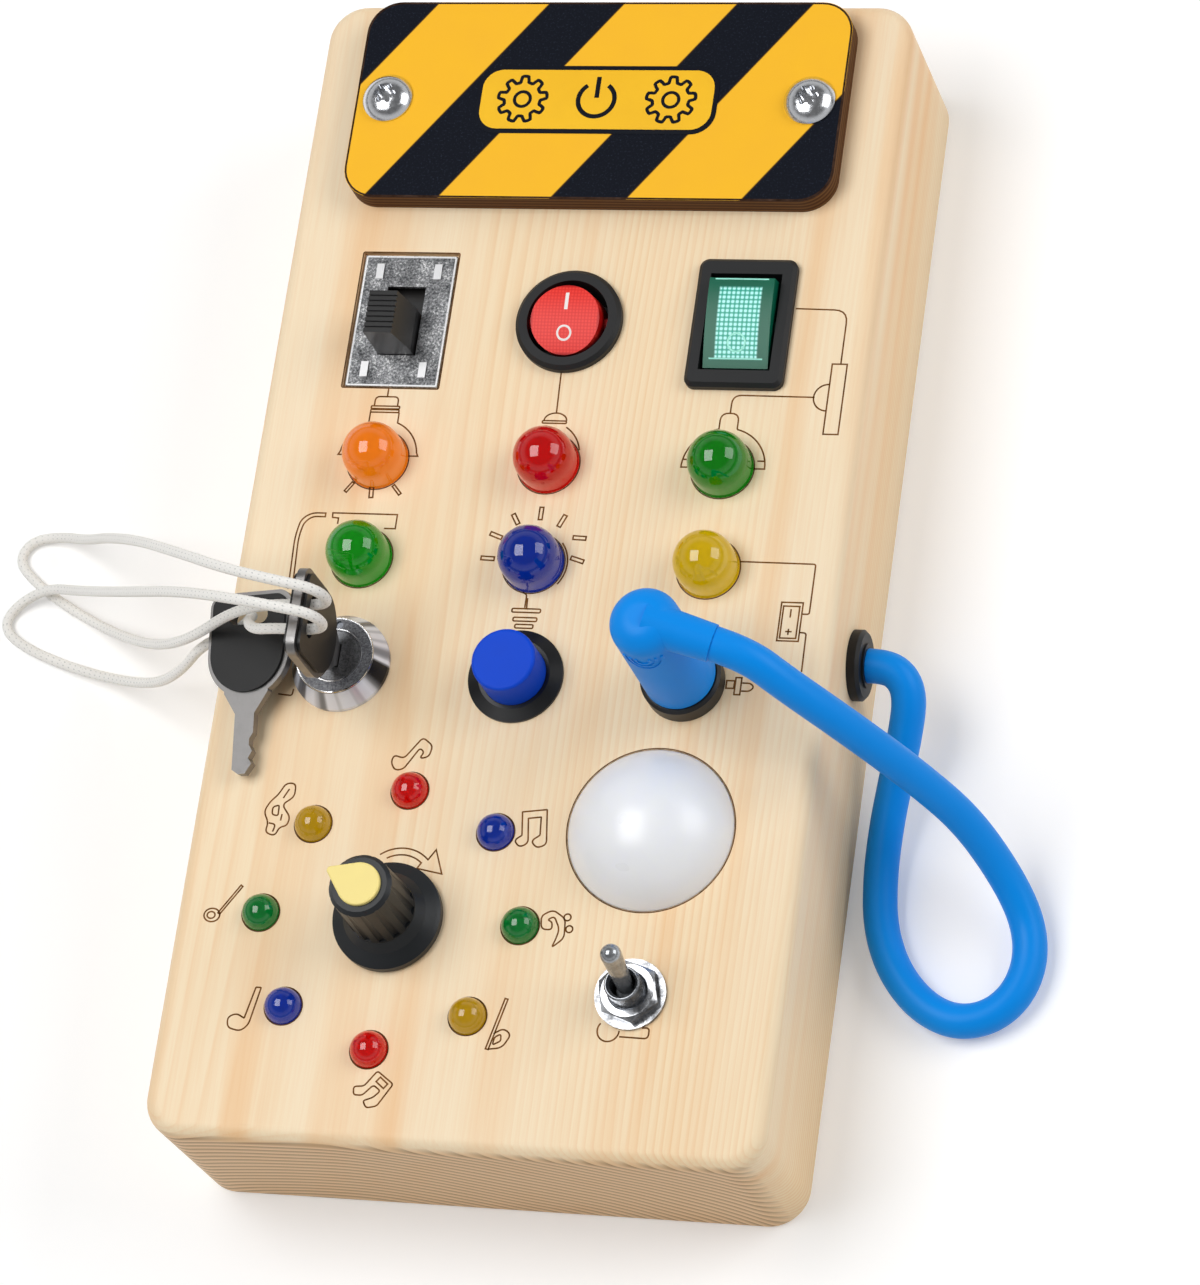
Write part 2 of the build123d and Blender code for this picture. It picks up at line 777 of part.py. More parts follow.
with BuildPart() as lock_nut:
    with BuildSketch(floor_at(lock_x, lock_y, under)):
        RegularPolygon(lock_nut_size / 2, 6, major_radius=False)
        Circle(lock_barrel_radius, mode=Mode.SUBTRACT)
    extrude(amount=-lock_nut_thickness)
write(lock_nut.part, "lock_nut")

# Lock plug: turns in the barrel, with the keyway through it and a tongue below
tongue_length = 3.0
tongue_width = 2.6
plug_foot = face - lock_barrel_length + clear
with BuildPart() as lock_plug:
    with BuildSketch(floor_at(lock_x, lock_y, plug_foot)):
        Circle(lock_plug_radius)
    extrude(amount=lock_face - plug_foot)
    with BuildSketch(floor_at(lock_x, lock_y, lock_face)):
        Rectangle(key_thickness + 2 * keyway_gap, key_blade_width + 2 * keyway_gap)
    extrude(amount=-(key_blade_length + 2 * keyway_gap), mode=Mode.SUBTRACT)
    with BuildSketch(floor_at(lock_x, lock_y, plug_foot)):
        Rectangle(tongue_width, lock_plug_radius)
    extrude(amount=-tongue_length)
write(lock_plug.part, "lock_plug")

# Contact block of the key switch, below the barrel
with BuildPart() as lock_contact_block:
    with BuildSketch(floor_at(lock_x, lock_y, face - lock_barrel_length)):
        Circle(lock_barrel_radius)
    extrude(amount=-lock_block_height)
    with BuildSketch(floor_at(lock_x, lock_y, face - lock_barrel_length)):
        Circle(lock_plug_radius)
    extrude(amount=-(tongue_length + clear), mode=Mode.SUBTRACT)
    with BuildSketch(floor_at(lock_x, lock_y, face - lock_barrel_length - lock_block_height)):
        with GridLocations(lock_tab_spacing, 0, 2, 1):
            Rectangle(blade_thickness, blade_width)
    extrude(amount=-lock_tab_length)
write(lock_contact_block.part, "lock_contact_block")

# Keys: drawn flat, with the blade's root at the origin and the bow towards +Y
bow_radius = key_bow_width / 2
bow_centre = key_shoulder_length + bow_radius - 1.0
bow_end = bow_centre - bow_radius + key_bow_length
slot_y = bow_end - key_slot_inset
key_bits = [(1.4, 0), (0, 2.0), (bit_depth, 3.2), (0, 4.6), (bit_depth, 6.0), (bit_depth, 7.2), (0, 8.4)]


def bow_outline(inset):
    """The bow's outline: round towards the blade, square with rounded corners at its end."""
    with BuildSketch(mode=Mode.PRIVATE) as outline:
        with Locations((0, bow_centre)):
            Circle(bow_radius - inset)
        with Locations((0, (bow_centre + bow_end - inset) / 2)):
            Rectangle(key_bow_width - 2 * inset, bow_end - inset - bow_centre)
        corners = outline.vertices().group_by(Axis.Y)[-1]
        fillet(corners, key_bow_corner - inset)
    return outline.sketch


def key_steel(plane):
    """The steel of a key: a thin bow with a window for the grip, shoulders and a cut blade."""
    with BuildPart() as steel:
        with BuildSketch(plane):
            with BuildLine():
                Polyline(
                    (-key_blade_width / 2, 0),
                    (-key_shoulder_width / 2, key_shoulder_length),
                    (-key_shoulder_width / 2, bow_centre - bow_radius / 2),
                    (key_shoulder_width / 2, bow_centre - bow_radius / 2),
                    (key_shoulder_width / 2, key_shoulder_length),
                    (key_blade_width / 2, 0),
                    close=True,
                )
            make_face()
            add(bow_outline(0))
            add(bow_outline(key_rim), mode=Mode.SUBTRACT)
            with BuildLine():
                Polyline(
                    (-key_blade_width / 2, 0),
                    (-key_blade_width / 2, key_tip_rise - key_blade_length),
                    (key_tip_width - key_blade_width / 2, -key_blade_length),
                    *[(key_blade_width / 2 - depth, along - key_blade_length) for depth, along in key_bits],
                    (key_blade_width / 2, 0),
                    close=True,
                )
            make_face()
        extrude(amount=key_thickness / 2, both=True)
    return steel.part


def key_grip(plane):
    """The plastic grip that fills a key's window and stands proud on both sides."""
    with BuildPart() as grip:
        with BuildSketch(plane):
            add(bow_outline(key_rim))
            with Locations((0, slot_y)):
                SlotOverall(key_slot_length, key_slot_width, mode=Mode.SUBTRACT)
        extrude(amount=key_grip_thickness / 2, both=True)
    return grip.part


# The key in the lock stands upright, its flat along the board
key_plane = Plane((lock_x, lock_y, lock_face + clear), x_dir=(0, 1, 0), z_dir=(1, 0, 0))
write(key_steel(key_plane), "key_steel")
write(key_grip(key_plane), "key_grip")

# The spare key leans on the lock's flange, tied to the first one by the cord
spare_plane = Plane((-53.9, -38.0, 44.0)).rotated((7, -9.5, 4))
write(key_steel(spare_plane), "spare_key_steel")
write(key_grip(spare_plane), "spare_key_grip")

# Push button: bezel and barrel in one, a sliding cap and its return spring
with BuildPart() as button_body:
    with BuildSketch(upright(0, button_y, face)):
        with BuildLine():
            Polyline(
                (button_cap_radius + running, button_bezel_height),
                (button_bezel_radius - 2.4, button_bezel_height),
                (button_bezel_radius, 0.5),
                (button_bezel_radius, 0),
                (button_barrel_radius, 0),
                (button_barrel_radius, -button_depth),
                (button_stem_radius + running, -button_depth),
                (button_stem_radius + running, -button_depth + 5),
                (button_cap_radius + running, -button_depth + 5),
                close=True,
            )
        make_face()
    revolve(axis=vertical(0, button_y))
write(button_body.part, "button_body")

with BuildPart() as button_nut:
    with BuildSketch(floor_at(0, button_y, under)):
        RegularPolygon(button_nut_size / 2, 6, major_radius=False)
        Circle(button_barrel_radius, mode=Mode.SUBTRACT)
    extrude(amount=-button_nut_thickness)
write(button_nut.part, "button_nut")

cap_foot = face - 4.0
with BuildPart() as button_cap:
    with BuildSketch(floor_at(0, button_y, cap_foot)):
        Circle(button_cap_radius)
    extrude(amount=face + button_cap_height - cap_foot)
    fillet(button_cap.faces().sort_by(Axis.Z)[-1].edges(), button_cap_edge)
    with BuildSketch(floor_at(0, button_y, cap_foot)):
        Circle(button_stem_radius)
    extrude(amount=-(button_depth - 4.0 - 1.0))
write(button_cap.part, "button_cap")

spring_foot = face - button_depth + 5
spring_turns = 5
spring_pitch = (cap_foot - spring_foot - 2 * spring_wire) / spring_turns
with BuildPart() as button_spring:
    with BuildLine():
        Helix(
            spring_pitch,
            spring_pitch * spring_turns,
            spring_radius,
            center=(0, button_y, spring_foot + spring_wire),
        )
    with BuildSketch(
        Plane((spring_radius, button_y, spring_foot + spring_wire), x_dir=(1, 0, 0), z_dir=(0, 1, 0))
    ):
        Circle(spring_wire)
    sweep(is_frenet=True)
write(button_spring.part, "button_spring")

# Jack socket: a panel socket with a plain black ring, and its nut behind
jack_top = face + jack_ring_height
with BuildPart() as jack_socket:
    with BuildSketch(floor_at(jack_x, jack_y, face)):
        Circle(jack_ring_radius)
    extrude(amount=jack_ring_height)
    chamfer(jack_socket.faces().sort_by(Axis.Z)[-1].edges(), jack_ring_edge)
    with BuildSketch(floor_at(jack_x, jack_y, face)):
        Circle(jack_barrel_radius)
    extrude(amount=-jack_depth)
    with BuildSketch(floor_at(jack_x, jack_y, jack_top)):
        Circle(pin_radius + running)
    extrude(amount=-(jack_ring_height + pin_length + 1.5 * clear), mode=Mode.SUBTRACT)
write(jack_socket.part, "jack_socket")

with BuildPart() as jack_nut:
    with BuildSketch(floor_at(jack_x, jack_y, under)):
        RegularPolygon(jack_nut_size / 2, 6, major_radius=False)
        Circle(jack_barrel_radius, mode=Mode.SUBTRACT)
    extrude(amount=-jack_nut_thickness)
write(jack_nut.part, "jack_nut")

# Plug pin: sleeve, insulating band and tip in one turned piece
boot_foot = jack_top + clear
pin_tip = boot_foot - pin_length
with BuildPart() as plug_pin:
    with BuildSketch(upright(jack_x, jack_y, pin_tip)):
        with BuildLine():
            Polyline(
                (0, 0),
                (1.2, 0.2),
                (pin_radius - 0.3, 2.6),
                (pin_radius - 0.9, 4.2),
                (pin_radius - 0.1, 5.6),
                (pin_radius - 0.1, 6.6),
                (pin_radius, 6.6),
                (pin_radius, pin_length),
                (0, pin_length),
                close=True,
            )
        make_face()
    revolve(axis=vertical(jack_x, jack_y))
write(plug_pin.part, "plug_pin")

# Plug boot: a soft right-angled moulding round the plug and the cable's end
boot_top = boot_foot + boot_height
outlet_z = boot_top - boot_outlet_drop
ridge_z = boot_top - boot_ridge_drop
outlet_way = Vector(1, 0, 0).rotate(Axis.Y, -boot_outlet_fall).rotate(Axis.Z, boot_outlet_turn)
outlet_end = Vector(jack_x, jack_y, outlet_z) + outlet_way * boot_outlet_length
with BuildPart() as finger_ridges:
    with BuildSketch(upright(jack_x, jack_y - boot_radius - 1, ridge_z)):
        for ridge in range(boot_ridges):
            inset = 2 * ridge * boot_ridge_pitch
            width = boot_ridge_width - inset
            length = boot_ridge_length - inset
            SlotOverall(length, width, rotation=90)
            SlotOverall(
                length - 2 * boot_ridge_line, width - 2 * boot_ridge_line, rotation=90, mode=Mode.SUBTRACT
            )
        Rectangle(boot_ridge_width, boot_ridge_length, align=(Align.CENTER, Align.MIN), mode=Mode.SUBTRACT)
    extrude(amount=-boot_radius - 1)
    with BuildSketch(floor_at(jack_x, jack_y, boot_foot)):
        Circle(boot_top_radius + boot_ridge_height)
    extrude(amount=boot_height, mode=Mode.INTERSECT)
with BuildPart() as plug_boot:
    with BuildSketch(floor_at(jack_x, jack_y, boot_foot)):
        Circle(boot_radius)
    with BuildSketch(floor_at(jack_x, jack_y, boot_top)):
        Circle(boot_top_radius)
    loft()
    fillet(plug_boot.faces().sort_by(Axis.Z)[-1].edges(), boot_top_round)
    with BuildSketch(Plane((jack_x, jack_y, outlet_z), x_dir=(0, 0, 1), z_dir=outlet_way)):
        Circle(boot_outlet_radius)
    with BuildSketch(Plane(outlet_end, x_dir=(0, 0, 1), z_dir=outlet_way)):
        Circle(boot_outlet_end_radius)
    loft()
    add(finger_ridges.part)
write(plug_boot.part, "plug_boot")

# Grommet where the cable leaves the side of the board
side = board_width / 2
grommet_axis = Plane((side, grommet_y, grommet_z), x_dir=(0, 1, 0), z_dir=(1, 0, 0))
exit_x = side + grommet_flange_thickness + grommet_nose
with BuildPart() as cable_grommet:
    with BuildSketch(grommet_axis):
        Circle(grommet_flange_radius)
    extrude(amount=grommet_flange_thickness)
    chamfer(cable_grommet.faces().sort_by(Axis.X)[-1].edges(), 0.7)
    with BuildSketch(grommet_axis):
        Circle(cable_diameter / 2 + 1)
    extrude(amount=grommet_flange_thickness + grommet_nose)
    with BuildSketch(grommet_axis):
        Circle(grommet_barrel_radius)
    extrude(amount=-(side_wall + 1.5))
write(cable_grommet.part, "cable_grommet")


def tube(points, diameter, label):
    """A round cord along straight runs joined by the largest arcs that its runs allow."""
    spots = [Vector(*point) for point in points]
    runs = [b - a for a, b in zip(spots, spots[1:])]
    radii = []
    for before, after in zip(runs, runs[1:]):
        turn = radians(before.get_angle(after))
        radii.append(0.45 * min(before.length, after.length) / tan(turn / 2))
    with BuildPart() as cord:
        with BuildLine() as route:
            FilletPolyline(*spots, radius=radii)
        with BuildSketch(Plane(spots[0], z_dir=runs[0])):
            Circle(diameter / 2)
        sweep(path=route.wire())
    length = route.wire().length
    share = cord.part.volume / (pi * diameter**2 / 4 * length)
    print(label, f"length {length:.1f}", f"volume ratio {share:.4f}", "radii", [round(r, 1) for r in radii])
    return cord.part


# Blue cable: out of the grommet, down to the table, round one open loop and up to the plug
cable_route = [
    (exit_x, grommet_y, grommet_z),
    (exit_x + cable_exit_run, grommet_y, grommet_z),
    (73.7, -15.6, 19.0),
    (75.0, -19.2, 17.2),
    (74.2, -25.2, 14.2),
    (72.5, -33.6, 10.4),
    (70.8, -43.0, 6.8),
    (70.2, -53.2, 4.2),
    (71.4, -63.2, 3.6),
    (75.4, -72.2, 3.6),
    (81.8, -79.0, 3.6),
    (89.0, -82.0, 3.6),
    (96.0, -80.4, 3.6),
    (100.9, -75.2, 3.6),
    (102.7, -67.4, 3.6),
    (100.9, -59.3, 5.0),
    (96.1, -51.6, 11.0),
    (90.2, -45.4, 21.5),
    (83.0, -42.0, 33.6),
    (75.6, -39.2, 44.8),
    (68.4, -36.6, 54.6),
    (61.4, -33.8, 62.2),
    tuple(outlet_end + outlet_way * cable_boot_run),
    tuple(outlet_end),
]
write(tube(cable_route, cable_diameter, "blue_cable"), "blue_cable")

# White cord: two loops through the keys that hang over the board's left edge to the table
hole_z = lock_face + clear + slot_y
cord_end_gap = 0.1
upper_y = lock_y + slot_half
lower_y = lock_y - slot_half
upper_loop = [
    (lock_x + cord_end_gap, upper_y, hole_z),
    (lock_x + 5.4, upper_y, hole_z),
    (-31.4, -22.6, 74.4),
    (-40.6, -21.8, 77.0),
    (-52.0, -18.4, 73.5),
    (-66.0, -11.6, 64.0),
    (-82.0, -2.6, 48.0),
    (-98.0, 6.4, 27.0),
    (-110.0, 13.0, 9.0),
    (-119.6, 16.6, 1.6),
    (-126.2, 15.6, 1.2),
    (-128.4, 11.0, 1.2),
    (-124.8, 6.8, 1.2),
    (-115.8, 0.8, 1.3),
    (-102.4, -6.6, 6.0),
    (-84.6, -16.4, 24.0),
    (-69.0, -22.4, 44.0),
    (-55.6, -20.6, 56.5),
    (lock_x - 6.5, upper_y, hole_z),
    (lock_x - cord_end_gap, upper_y, hole_z),
]
lower_loop = [
    (lock_x + cord_end_gap, lower_y, hole_z),
    (lock_x + 5.4, lower_y, hole_z),
    (-31.4, -27.8, 74.4),
    (-40.5, -27.2, 77.0),
    (-52.0, -24.2, 73.0),
    (-66.0, -19.2, 62.5),
    (-82.0, -13.1, 46.0),
    (-97.6, -5.6, 26.5),
    (-109.2, 0.2, 12.0),
    (-119.2, 3.6, 4.4),
    (-127.0, 0.6, 1.3),
    (-129.2, -4.6, 1.2),
    (-123.8, -8.9, 1.2),
    (-111.6, -13.4, 1.4),
    (-98.0, -17.4, 5.5),
    (-85.2, -22.0, 17.0),
    (-74.8, -24.2, 31.0),
    (-67.0, -22.4, 41.6),
    (-59.1, -18.6, 41.5),
    (-54.8, -17.2, 46.8),
    (-53.2, -22.0, 54.0),
    (-48.5, -26.4, 61.5),
    (lock_x - 5.6, lower_y, hole_z),
    (lock_x - cord_end_gap, lower_y, hole_z),
]
write(tube(upper_loop, cord_diameter, "key_cord_upper"), "key_cord_upper")
write(tube(lower_loop, cord_diameter, "key_cord_lower"), "key_cord_lower")

# White lamp dome: a thin milky shell pushed through the panel
cap_radius = (dome_radius**2 + dome_height**2) / (2 * dome_height)
inner_radius = dome_radius - dome_wall
inner_height = dome_height - dome_wall
with BuildPart() as light_dome:
    with BuildSketch(upright(dome_x, dome_y, face)):
        with BuildLine():
            Line((inner_radius, 0), (inner_radius, -panel - dome_flange_thickness))
            Line(
                (inner_radius, -panel - dome_flange_thickness),
                (dome_radius + dome_flange, -panel - dome_flange_thickness),
            )
            Line((dome_radius + dome_flange, -panel - dome_flange_thickness), (dome_radius + dome_flange, -panel))
            Line((dome_radius + dome_flange, -panel), (dome_radius, -panel))
            Line((dome_radius, -panel), (dome_radius, 0))
            RadiusArc((dome_radius, 0), (0, dome_height), -cap_radius)
            Line((0, dome_height), (0, inner_height))
            RadiusArc((0, inner_height), (inner_radius, 0), (inner_radius**2 + inner_height**2) / (2 * inner_height))
        make_face()
    revolve(axis=vertical(dome_x, dome_y))
write(light_dome.part, "light_dome")

# Lamp board that closes the dome from behind, with one lamp chip on it
dome_foot = under - dome_flange_thickness
with BuildPart() as light_board:
    with BuildSketch(floor_at(dome_x, dome_y, dome_foot)):
        Circle(dome_radius + dome_flange)
    extrude(amount=-dome_board_thickness)
    with BuildSketch(floor_at(dome_x, dome_y, dome_foot)):
        Rectangle(dome_chip, dome_chip)
    extrude(amount=1.4)
write(light_board.part, "light_board")

# Toggle switch: bushing through the panel, body below, washer and nut above
toggle_pivot = face + toggle_ball_height
bushing_top = face + toggle_bushing_height
with BuildPart() as toggle_bushing:
    with BuildSketch(floor_at(toggle_x, toggle_y, under)):
        Circle(toggle_bushing_radius)
    extrude(amount=panel + toggle_bushing_height)
    chamfer(toggle_bushing.faces().sort_by(Axis.Z)[-1].edges(), 0.3)
    with BuildSketch(floor_at(toggle_x, toggle_y, under)):
        Rectangle(toggle_body_width, toggle_body_length)
    extrude(amount=-1.0)
    with BuildSketch(floor_at(toggle_x, toggle_y, under - 1)):
        Circle(toggle_ball_radius + running)
    extrude(amount=bushing_top - under + 1, mode=Mode.SUBTRACT)
    with BuildSketch(upright(toggle_x, toggle_y, bushing_top)):
        with BuildLine():
            Polyline((0, 0), (toggle_bushing_radius - 0.45, 0), (0, -4.5), close=True)
        make_face()
    revolve(axis=vertical(toggle_x, toggle_y), mode=Mode.SUBTRACT)
write(toggle_bushing.part, "toggle_bushing")

with BuildPart() as toggle_body:
    with BuildSketch(floor_at(toggle_x, toggle_y, under - 1)):
        Rectangle(toggle_body_width, toggle_body_length)
    extrude(amount=-toggle_body_height)
    with BuildSketch(floor_at(toggle_x, toggle_y, under - 1)):
        Rectangle(toggle_body_width - 3, toggle_body_length - 3)
    extrude(amount=-4, mode=Mode.SUBTRACT)
    with BuildSketch(floor_at(toggle_x, toggle_y, under - 1 - toggle_body_height)):
        with GridLocations(0, 4.7, 1, 3):
            Rectangle(2, 0.8)
    extrude(amount=-4)
write(toggle_body.part, "toggle_body")

with BuildPart() as toggle_washer:
    with BuildSketch(floor_at(toggle_x, toggle_y, face)):
        Circle(toggle_washer_radius)
        Circle(toggle_bushing_radius, mode=Mode.SUBTRACT)
    extrude(amount=toggle_washer_thickness)
write(toggle_washer.part, "toggle_washer")

with BuildPart() as toggle_nut:
    with BuildSketch(floor_at(toggle_x, toggle_y, face + toggle_washer_thickness)):
        RegularPolygon(toggle_nut_size / 2, 6, major_radius=False)
    extrude(amount=toggle_nut_thickness)
    with BuildSketch(upright(toggle_x, toggle_y, face + toggle_washer_thickness)):
        with BuildLine():
            Polyline(
                (0, 0),
                (toggle_nut_size / 2 + 0.1, 0),
                (toggle_nut_size / 2 + 0.1, toggle_nut_thickness - 0.4),
                (toggle_nut_size / 2 - 0.6, toggle_nut_thickness),
                (0, toggle_nut_thickness),
                close=True,
            )
        make_face()
    revolve(axis=vertical(toggle_x, toggle_y), mode=Mode.INTERSECT)
    with BuildSketch(floor_at(toggle_x, toggle_y, face + toggle_washer_thickness)):
        Circle(toggle_bushing_radius)
    extrude(amount=toggle_nut_thickness, mode=Mode.SUBTRACT)
write(toggle_nut.part, "toggle_nut")

# Toggle lever: tilted at rest, with a ball in the bushing and a tail in the body
lever_way = Vector(0, sin(radians(toggle_tilt)), cos(radians(toggle_tilt)))
lever_side = Plane((toggle_x, toggle_y, toggle_pivot), x_dir=(1, 0, 0), z_dir=Vector(1, 0, 0).cross(lever_way))
with BuildPart() as toggle_lever:
    with BuildSketch(lever_side):
        with BuildLine():
            tip_z = toggle_lever_length - toggle_tip_radius
            Line((0, -7), (1.1, -7))
            Line((1.1, -7), (1.1, 0))
            Line((1.1, 0), (toggle_lever_radius, 0))
            Line((toggle_lever_radius, 0), (toggle_tip_radius, tip_z))
            CenterArc((0, tip_z), toggle_tip_radius, 0, 90)
            Line((0, toggle_lever_length), (0, -7))
        make_face()
    revolve(axis=Axis((toggle_x, toggle_y, toggle_pivot), lever_way))
    with Locations(Location((toggle_x, toggle_y, toggle_pivot))):
        Sphere(toggle_ball_radius)
write(toggle_lever.part, "toggle_lever")

# Rotary switch: body below the panel, bushing through it, nut above, all inside the knob's skirt
with BuildPart() as rotary_switch_body:
    with BuildSketch(floor_at(knob_x, knob_y, under)):
        Circle(rotary_body_radius)
    extrude(amount=-rotary_body_height)
    with BuildSketch(floor_at(knob_x, knob_y, under)):
        Circle(rotary_bushing_radius)
    extrude(amount=panel + rotary_bushing_height)
    with BuildSketch(floor_at(knob_x, knob_y, under - rotary_body_height + 2)):
        Circle(shaft_radius + running)
    extrude(amount=rotary_body_height + panel + rotary_bushing_height, mode=Mode.SUBTRACT)
    with BuildSketch(floor_at(knob_x, knob_y, under - rotary_body_height)):
        with PolarLocations(rotary_body_radius - 2, 9):
            Rectangle(0.8, 1.6)
    extrude(amount=-4)
write(rotary_switch_body.part, "rotary_switch_body")

with BuildPart() as rotary_nut:
    with BuildSketch(floor_at(knob_x, knob_y, face)):
        RegularPolygon(rotary_nut_size / 2, 6, major_radius=False)
        Circle(rotary_bushing_radius, mode=Mode.SUBTRACT)
    extrude(amount=rotary_nut_thickness)
write(rotary_nut.part, "rotary_nut")

knob_foot = face + knob_gap
knob_crest = face + knob_height
shaft_foot = under - rotary_body_height + 2 + clear
shaft_top = knob_foot + knob_hollow_height + shaft_engagement
with BuildPart() as rotary_shaft:
    with BuildSketch(floor_at(knob_x, knob_y, shaft_foot)):
        Circle(shaft_radius)
    extrude(amount=shaft_top - shaft_foot)
write(rotary_shaft.part, "rotary_shaft")

# Knob: a flared skirt under a tall fluted barrel, hollow below over the nut
skirt_top_radius = knob_skirt_radius - 1.5 * skirt_edge
flare_radius = knob_waist_radius + knob_flare
waist_height = knob_skirt_height + flare_rise + knob_flare + 0.5 * skirt_edge
with BuildPart() as knob_body:
    with BuildSketch(upright(knob_x, knob_y, knob_foot)):
        with BuildLine():
            top = knob_crest - knob_foot
            Line((0, 0), (knob_skirt_radius, 0))
            Line((knob_skirt_radius, 0), (knob_skirt_radius, knob_skirt_height - skirt_edge))
            Line((knob_skirt_radius, knob_skirt_height - skirt_edge), (skirt_top_radius, knob_skirt_height))
            Line((skirt_top_radius, knob_skirt_height), (flare_radius, knob_skirt_height + flare_rise))
            Line((flare_radius, knob_skirt_height + flare_rise), (knob_waist_radius, waist_height))
            Line((knob_waist_radius, waist_height), (knob_top_radius, top - knob_edge))
            Line((knob_top_radius, top - knob_edge), (knob_top_radius - knob_edge, top))
            Line((knob_top_radius - knob_edge, top), (0, top))
            Line((0, top), (0, 0))
        make_face()
    revolve(axis=vertical(knob_x, knob_y))
    with BuildSketch(floor_at(knob_x, knob_y, knob_foot + waist_height + flute_start)):
        with PolarLocations(knob_waist_radius + knob_flute_radius * 0.35, knob_flutes):
            Circle(knob_flute_radius)
    extrude(amount=knob_height, mode=Mode.SUBTRACT)
    with BuildSketch(floor_at(knob_x, knob_y, knob_foot)):
        Circle(knob_hollow_radius)
    extrude(amount=knob_hollow_height, mode=Mode.SUBTRACT)
    with BuildSketch(floor_at(knob_x, knob_y, knob_foot)):
        Circle(shaft_radius)
    extrude(amount=knob_hollow_height + shaft_engagement, mode=Mode.SUBTRACT)
write(knob_body.part, "knob_body")

# Pointer: a flat drop-shaped cap on the knob
point_x, point_y = on_circle(pointer_reach, pointer_angle)
with BuildPart() as knob_pointer:
    with BuildSketch(floor_at(knob_x, knob_y, knob_crest)):
        with Locations((0, 0)):
            Circle(pointer_radius)
        with Locations((point_x * 0.9, point_y * 0.9)):
            Circle(0.8)
        make_hull()
    extrude(amount=pointer_thickness)
    fillet(knob_pointer.faces().sort_by(Axis.Z)[-1].edges(), 0.35)
write(knob_pointer.part, "knob_pointer")
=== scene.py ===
"""Wooden switch board for small hands: a pine block with switches, lamps, keys and a plug lead."""

import math

import bmesh
import bpy
import numpy as np
from mathutils import Matrix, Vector
from mathutils.bvhtree import BVHTree


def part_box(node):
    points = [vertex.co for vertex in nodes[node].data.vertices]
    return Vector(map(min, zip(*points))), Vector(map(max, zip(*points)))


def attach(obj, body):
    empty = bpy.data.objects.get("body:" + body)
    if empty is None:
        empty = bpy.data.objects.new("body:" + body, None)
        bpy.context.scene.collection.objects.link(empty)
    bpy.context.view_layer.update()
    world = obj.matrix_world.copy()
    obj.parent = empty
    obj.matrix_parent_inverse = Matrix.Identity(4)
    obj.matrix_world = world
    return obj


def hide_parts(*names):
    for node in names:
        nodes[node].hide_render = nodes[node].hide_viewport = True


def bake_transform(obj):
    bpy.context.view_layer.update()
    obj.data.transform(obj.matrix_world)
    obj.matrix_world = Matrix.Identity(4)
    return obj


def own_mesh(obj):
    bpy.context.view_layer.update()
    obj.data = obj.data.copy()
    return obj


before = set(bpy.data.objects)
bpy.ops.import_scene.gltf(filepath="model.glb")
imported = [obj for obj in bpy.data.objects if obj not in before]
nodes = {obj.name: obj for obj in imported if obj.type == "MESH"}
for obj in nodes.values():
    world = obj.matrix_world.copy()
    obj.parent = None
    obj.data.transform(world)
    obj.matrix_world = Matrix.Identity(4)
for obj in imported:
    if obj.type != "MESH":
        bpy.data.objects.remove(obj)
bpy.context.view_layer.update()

bl_info = {
    "name": "Wooden switch board",
    "version": (1, 0, 0),
    "blender": (4, 5, 0),
    "location": "View3D > Sidebar > Switch board",
    "description": "Dresses a pine board with its switches, lamps, keys and lead",
    "category": "Object",
}

MM = 0.001
FACE = 40.0
COLUMN = 36.5
SWITCH_ROW = 51.4
PLATE = (99.8, 105.0, 45.4, 7.0)  # y of its middle, width, length, corner radius
PLATE_TOP = 45.0
ROCKER_PIVOT = 39.4
ROCKER_TILT = 11.0
DOME = (32.3, -57.3, 16.8)  # x, y, radius
LOCK = (-37.0, -25.0)
RING = (-18.4, -78.3, 27.0)  # x, y, radius of the small lamps' ring
LAMP_RADIUS = 6.3
LAMP_STAND = 3.8  # straight part of a large lens above the face
SMALL_RADIUS = 3.75
FLOOR_GLOW = 0.22


# ---------------------------------------------------------------- settings


class BoardSizes(bpy.types.PropertyGroup):
    """Sizes of the pieces that are finished here, in millimetres."""

    line_width: bpy.props.FloatProperty(
        name="Burnt line width", description="Width of the laser-burnt lines on the face", default=0.4
    )
    lens_core: bpy.props.FloatProperty(
        name="Lens core", description="Radius of the coloured core as a share of its lens", default=0.9
    )
    cord_pitch: bpy.props.FloatProperty(
        name="Braid pitch", description="Length of one diamond of the white cord's braid", default=1.5
    )


def colour_setting(name, description, default):
    """A colour picker whose default is an sRGB hex value."""
    return bpy.props.FloatVectorProperty(
        name=name, description=description, default=linear(default), size=4, min=0, max=1, subtype="COLOR"
    )


def linear(colour):
    """sRGB hex to a linear colour with alpha 1, by the sRGB transfer curve. A setting is linear already."""
    if not isinstance(colour, str):
        return tuple(colour)
    code = colour.lstrip("#")
    parts = [int(code[i : i + 2], 16) / 255 for i in (0, 2, 4)]
    return tuple(c / 12.92 if c <= 0.04045 else ((c + 0.055) / 1.055) ** 2.4 for c in parts) + (1.0,)


class BoardColours(bpy.types.PropertyGroup):
    """Colours that a user would change."""

    pine: colour_setting("Pine", "Pale wood between the rings", "#FBEBD0")
    stripe_light: colour_setting("Plate yellow", "Light stripes of the plate", "#FFC22B")
    stripe_dark: colour_setting("Plate navy", "Dark stripes of the plate", "#090E1A")
    lead: colour_setting("Lead blue", "Lead and plug boot", "#008EEE")
    button: colour_setting("Button blue", "Cap of the push button", "#0C4AD4")
    pointer: colour_setting("Pointer cream", "Pointer on the knob", "#FBE48C")


# ---------------------------------------------------------------- materials


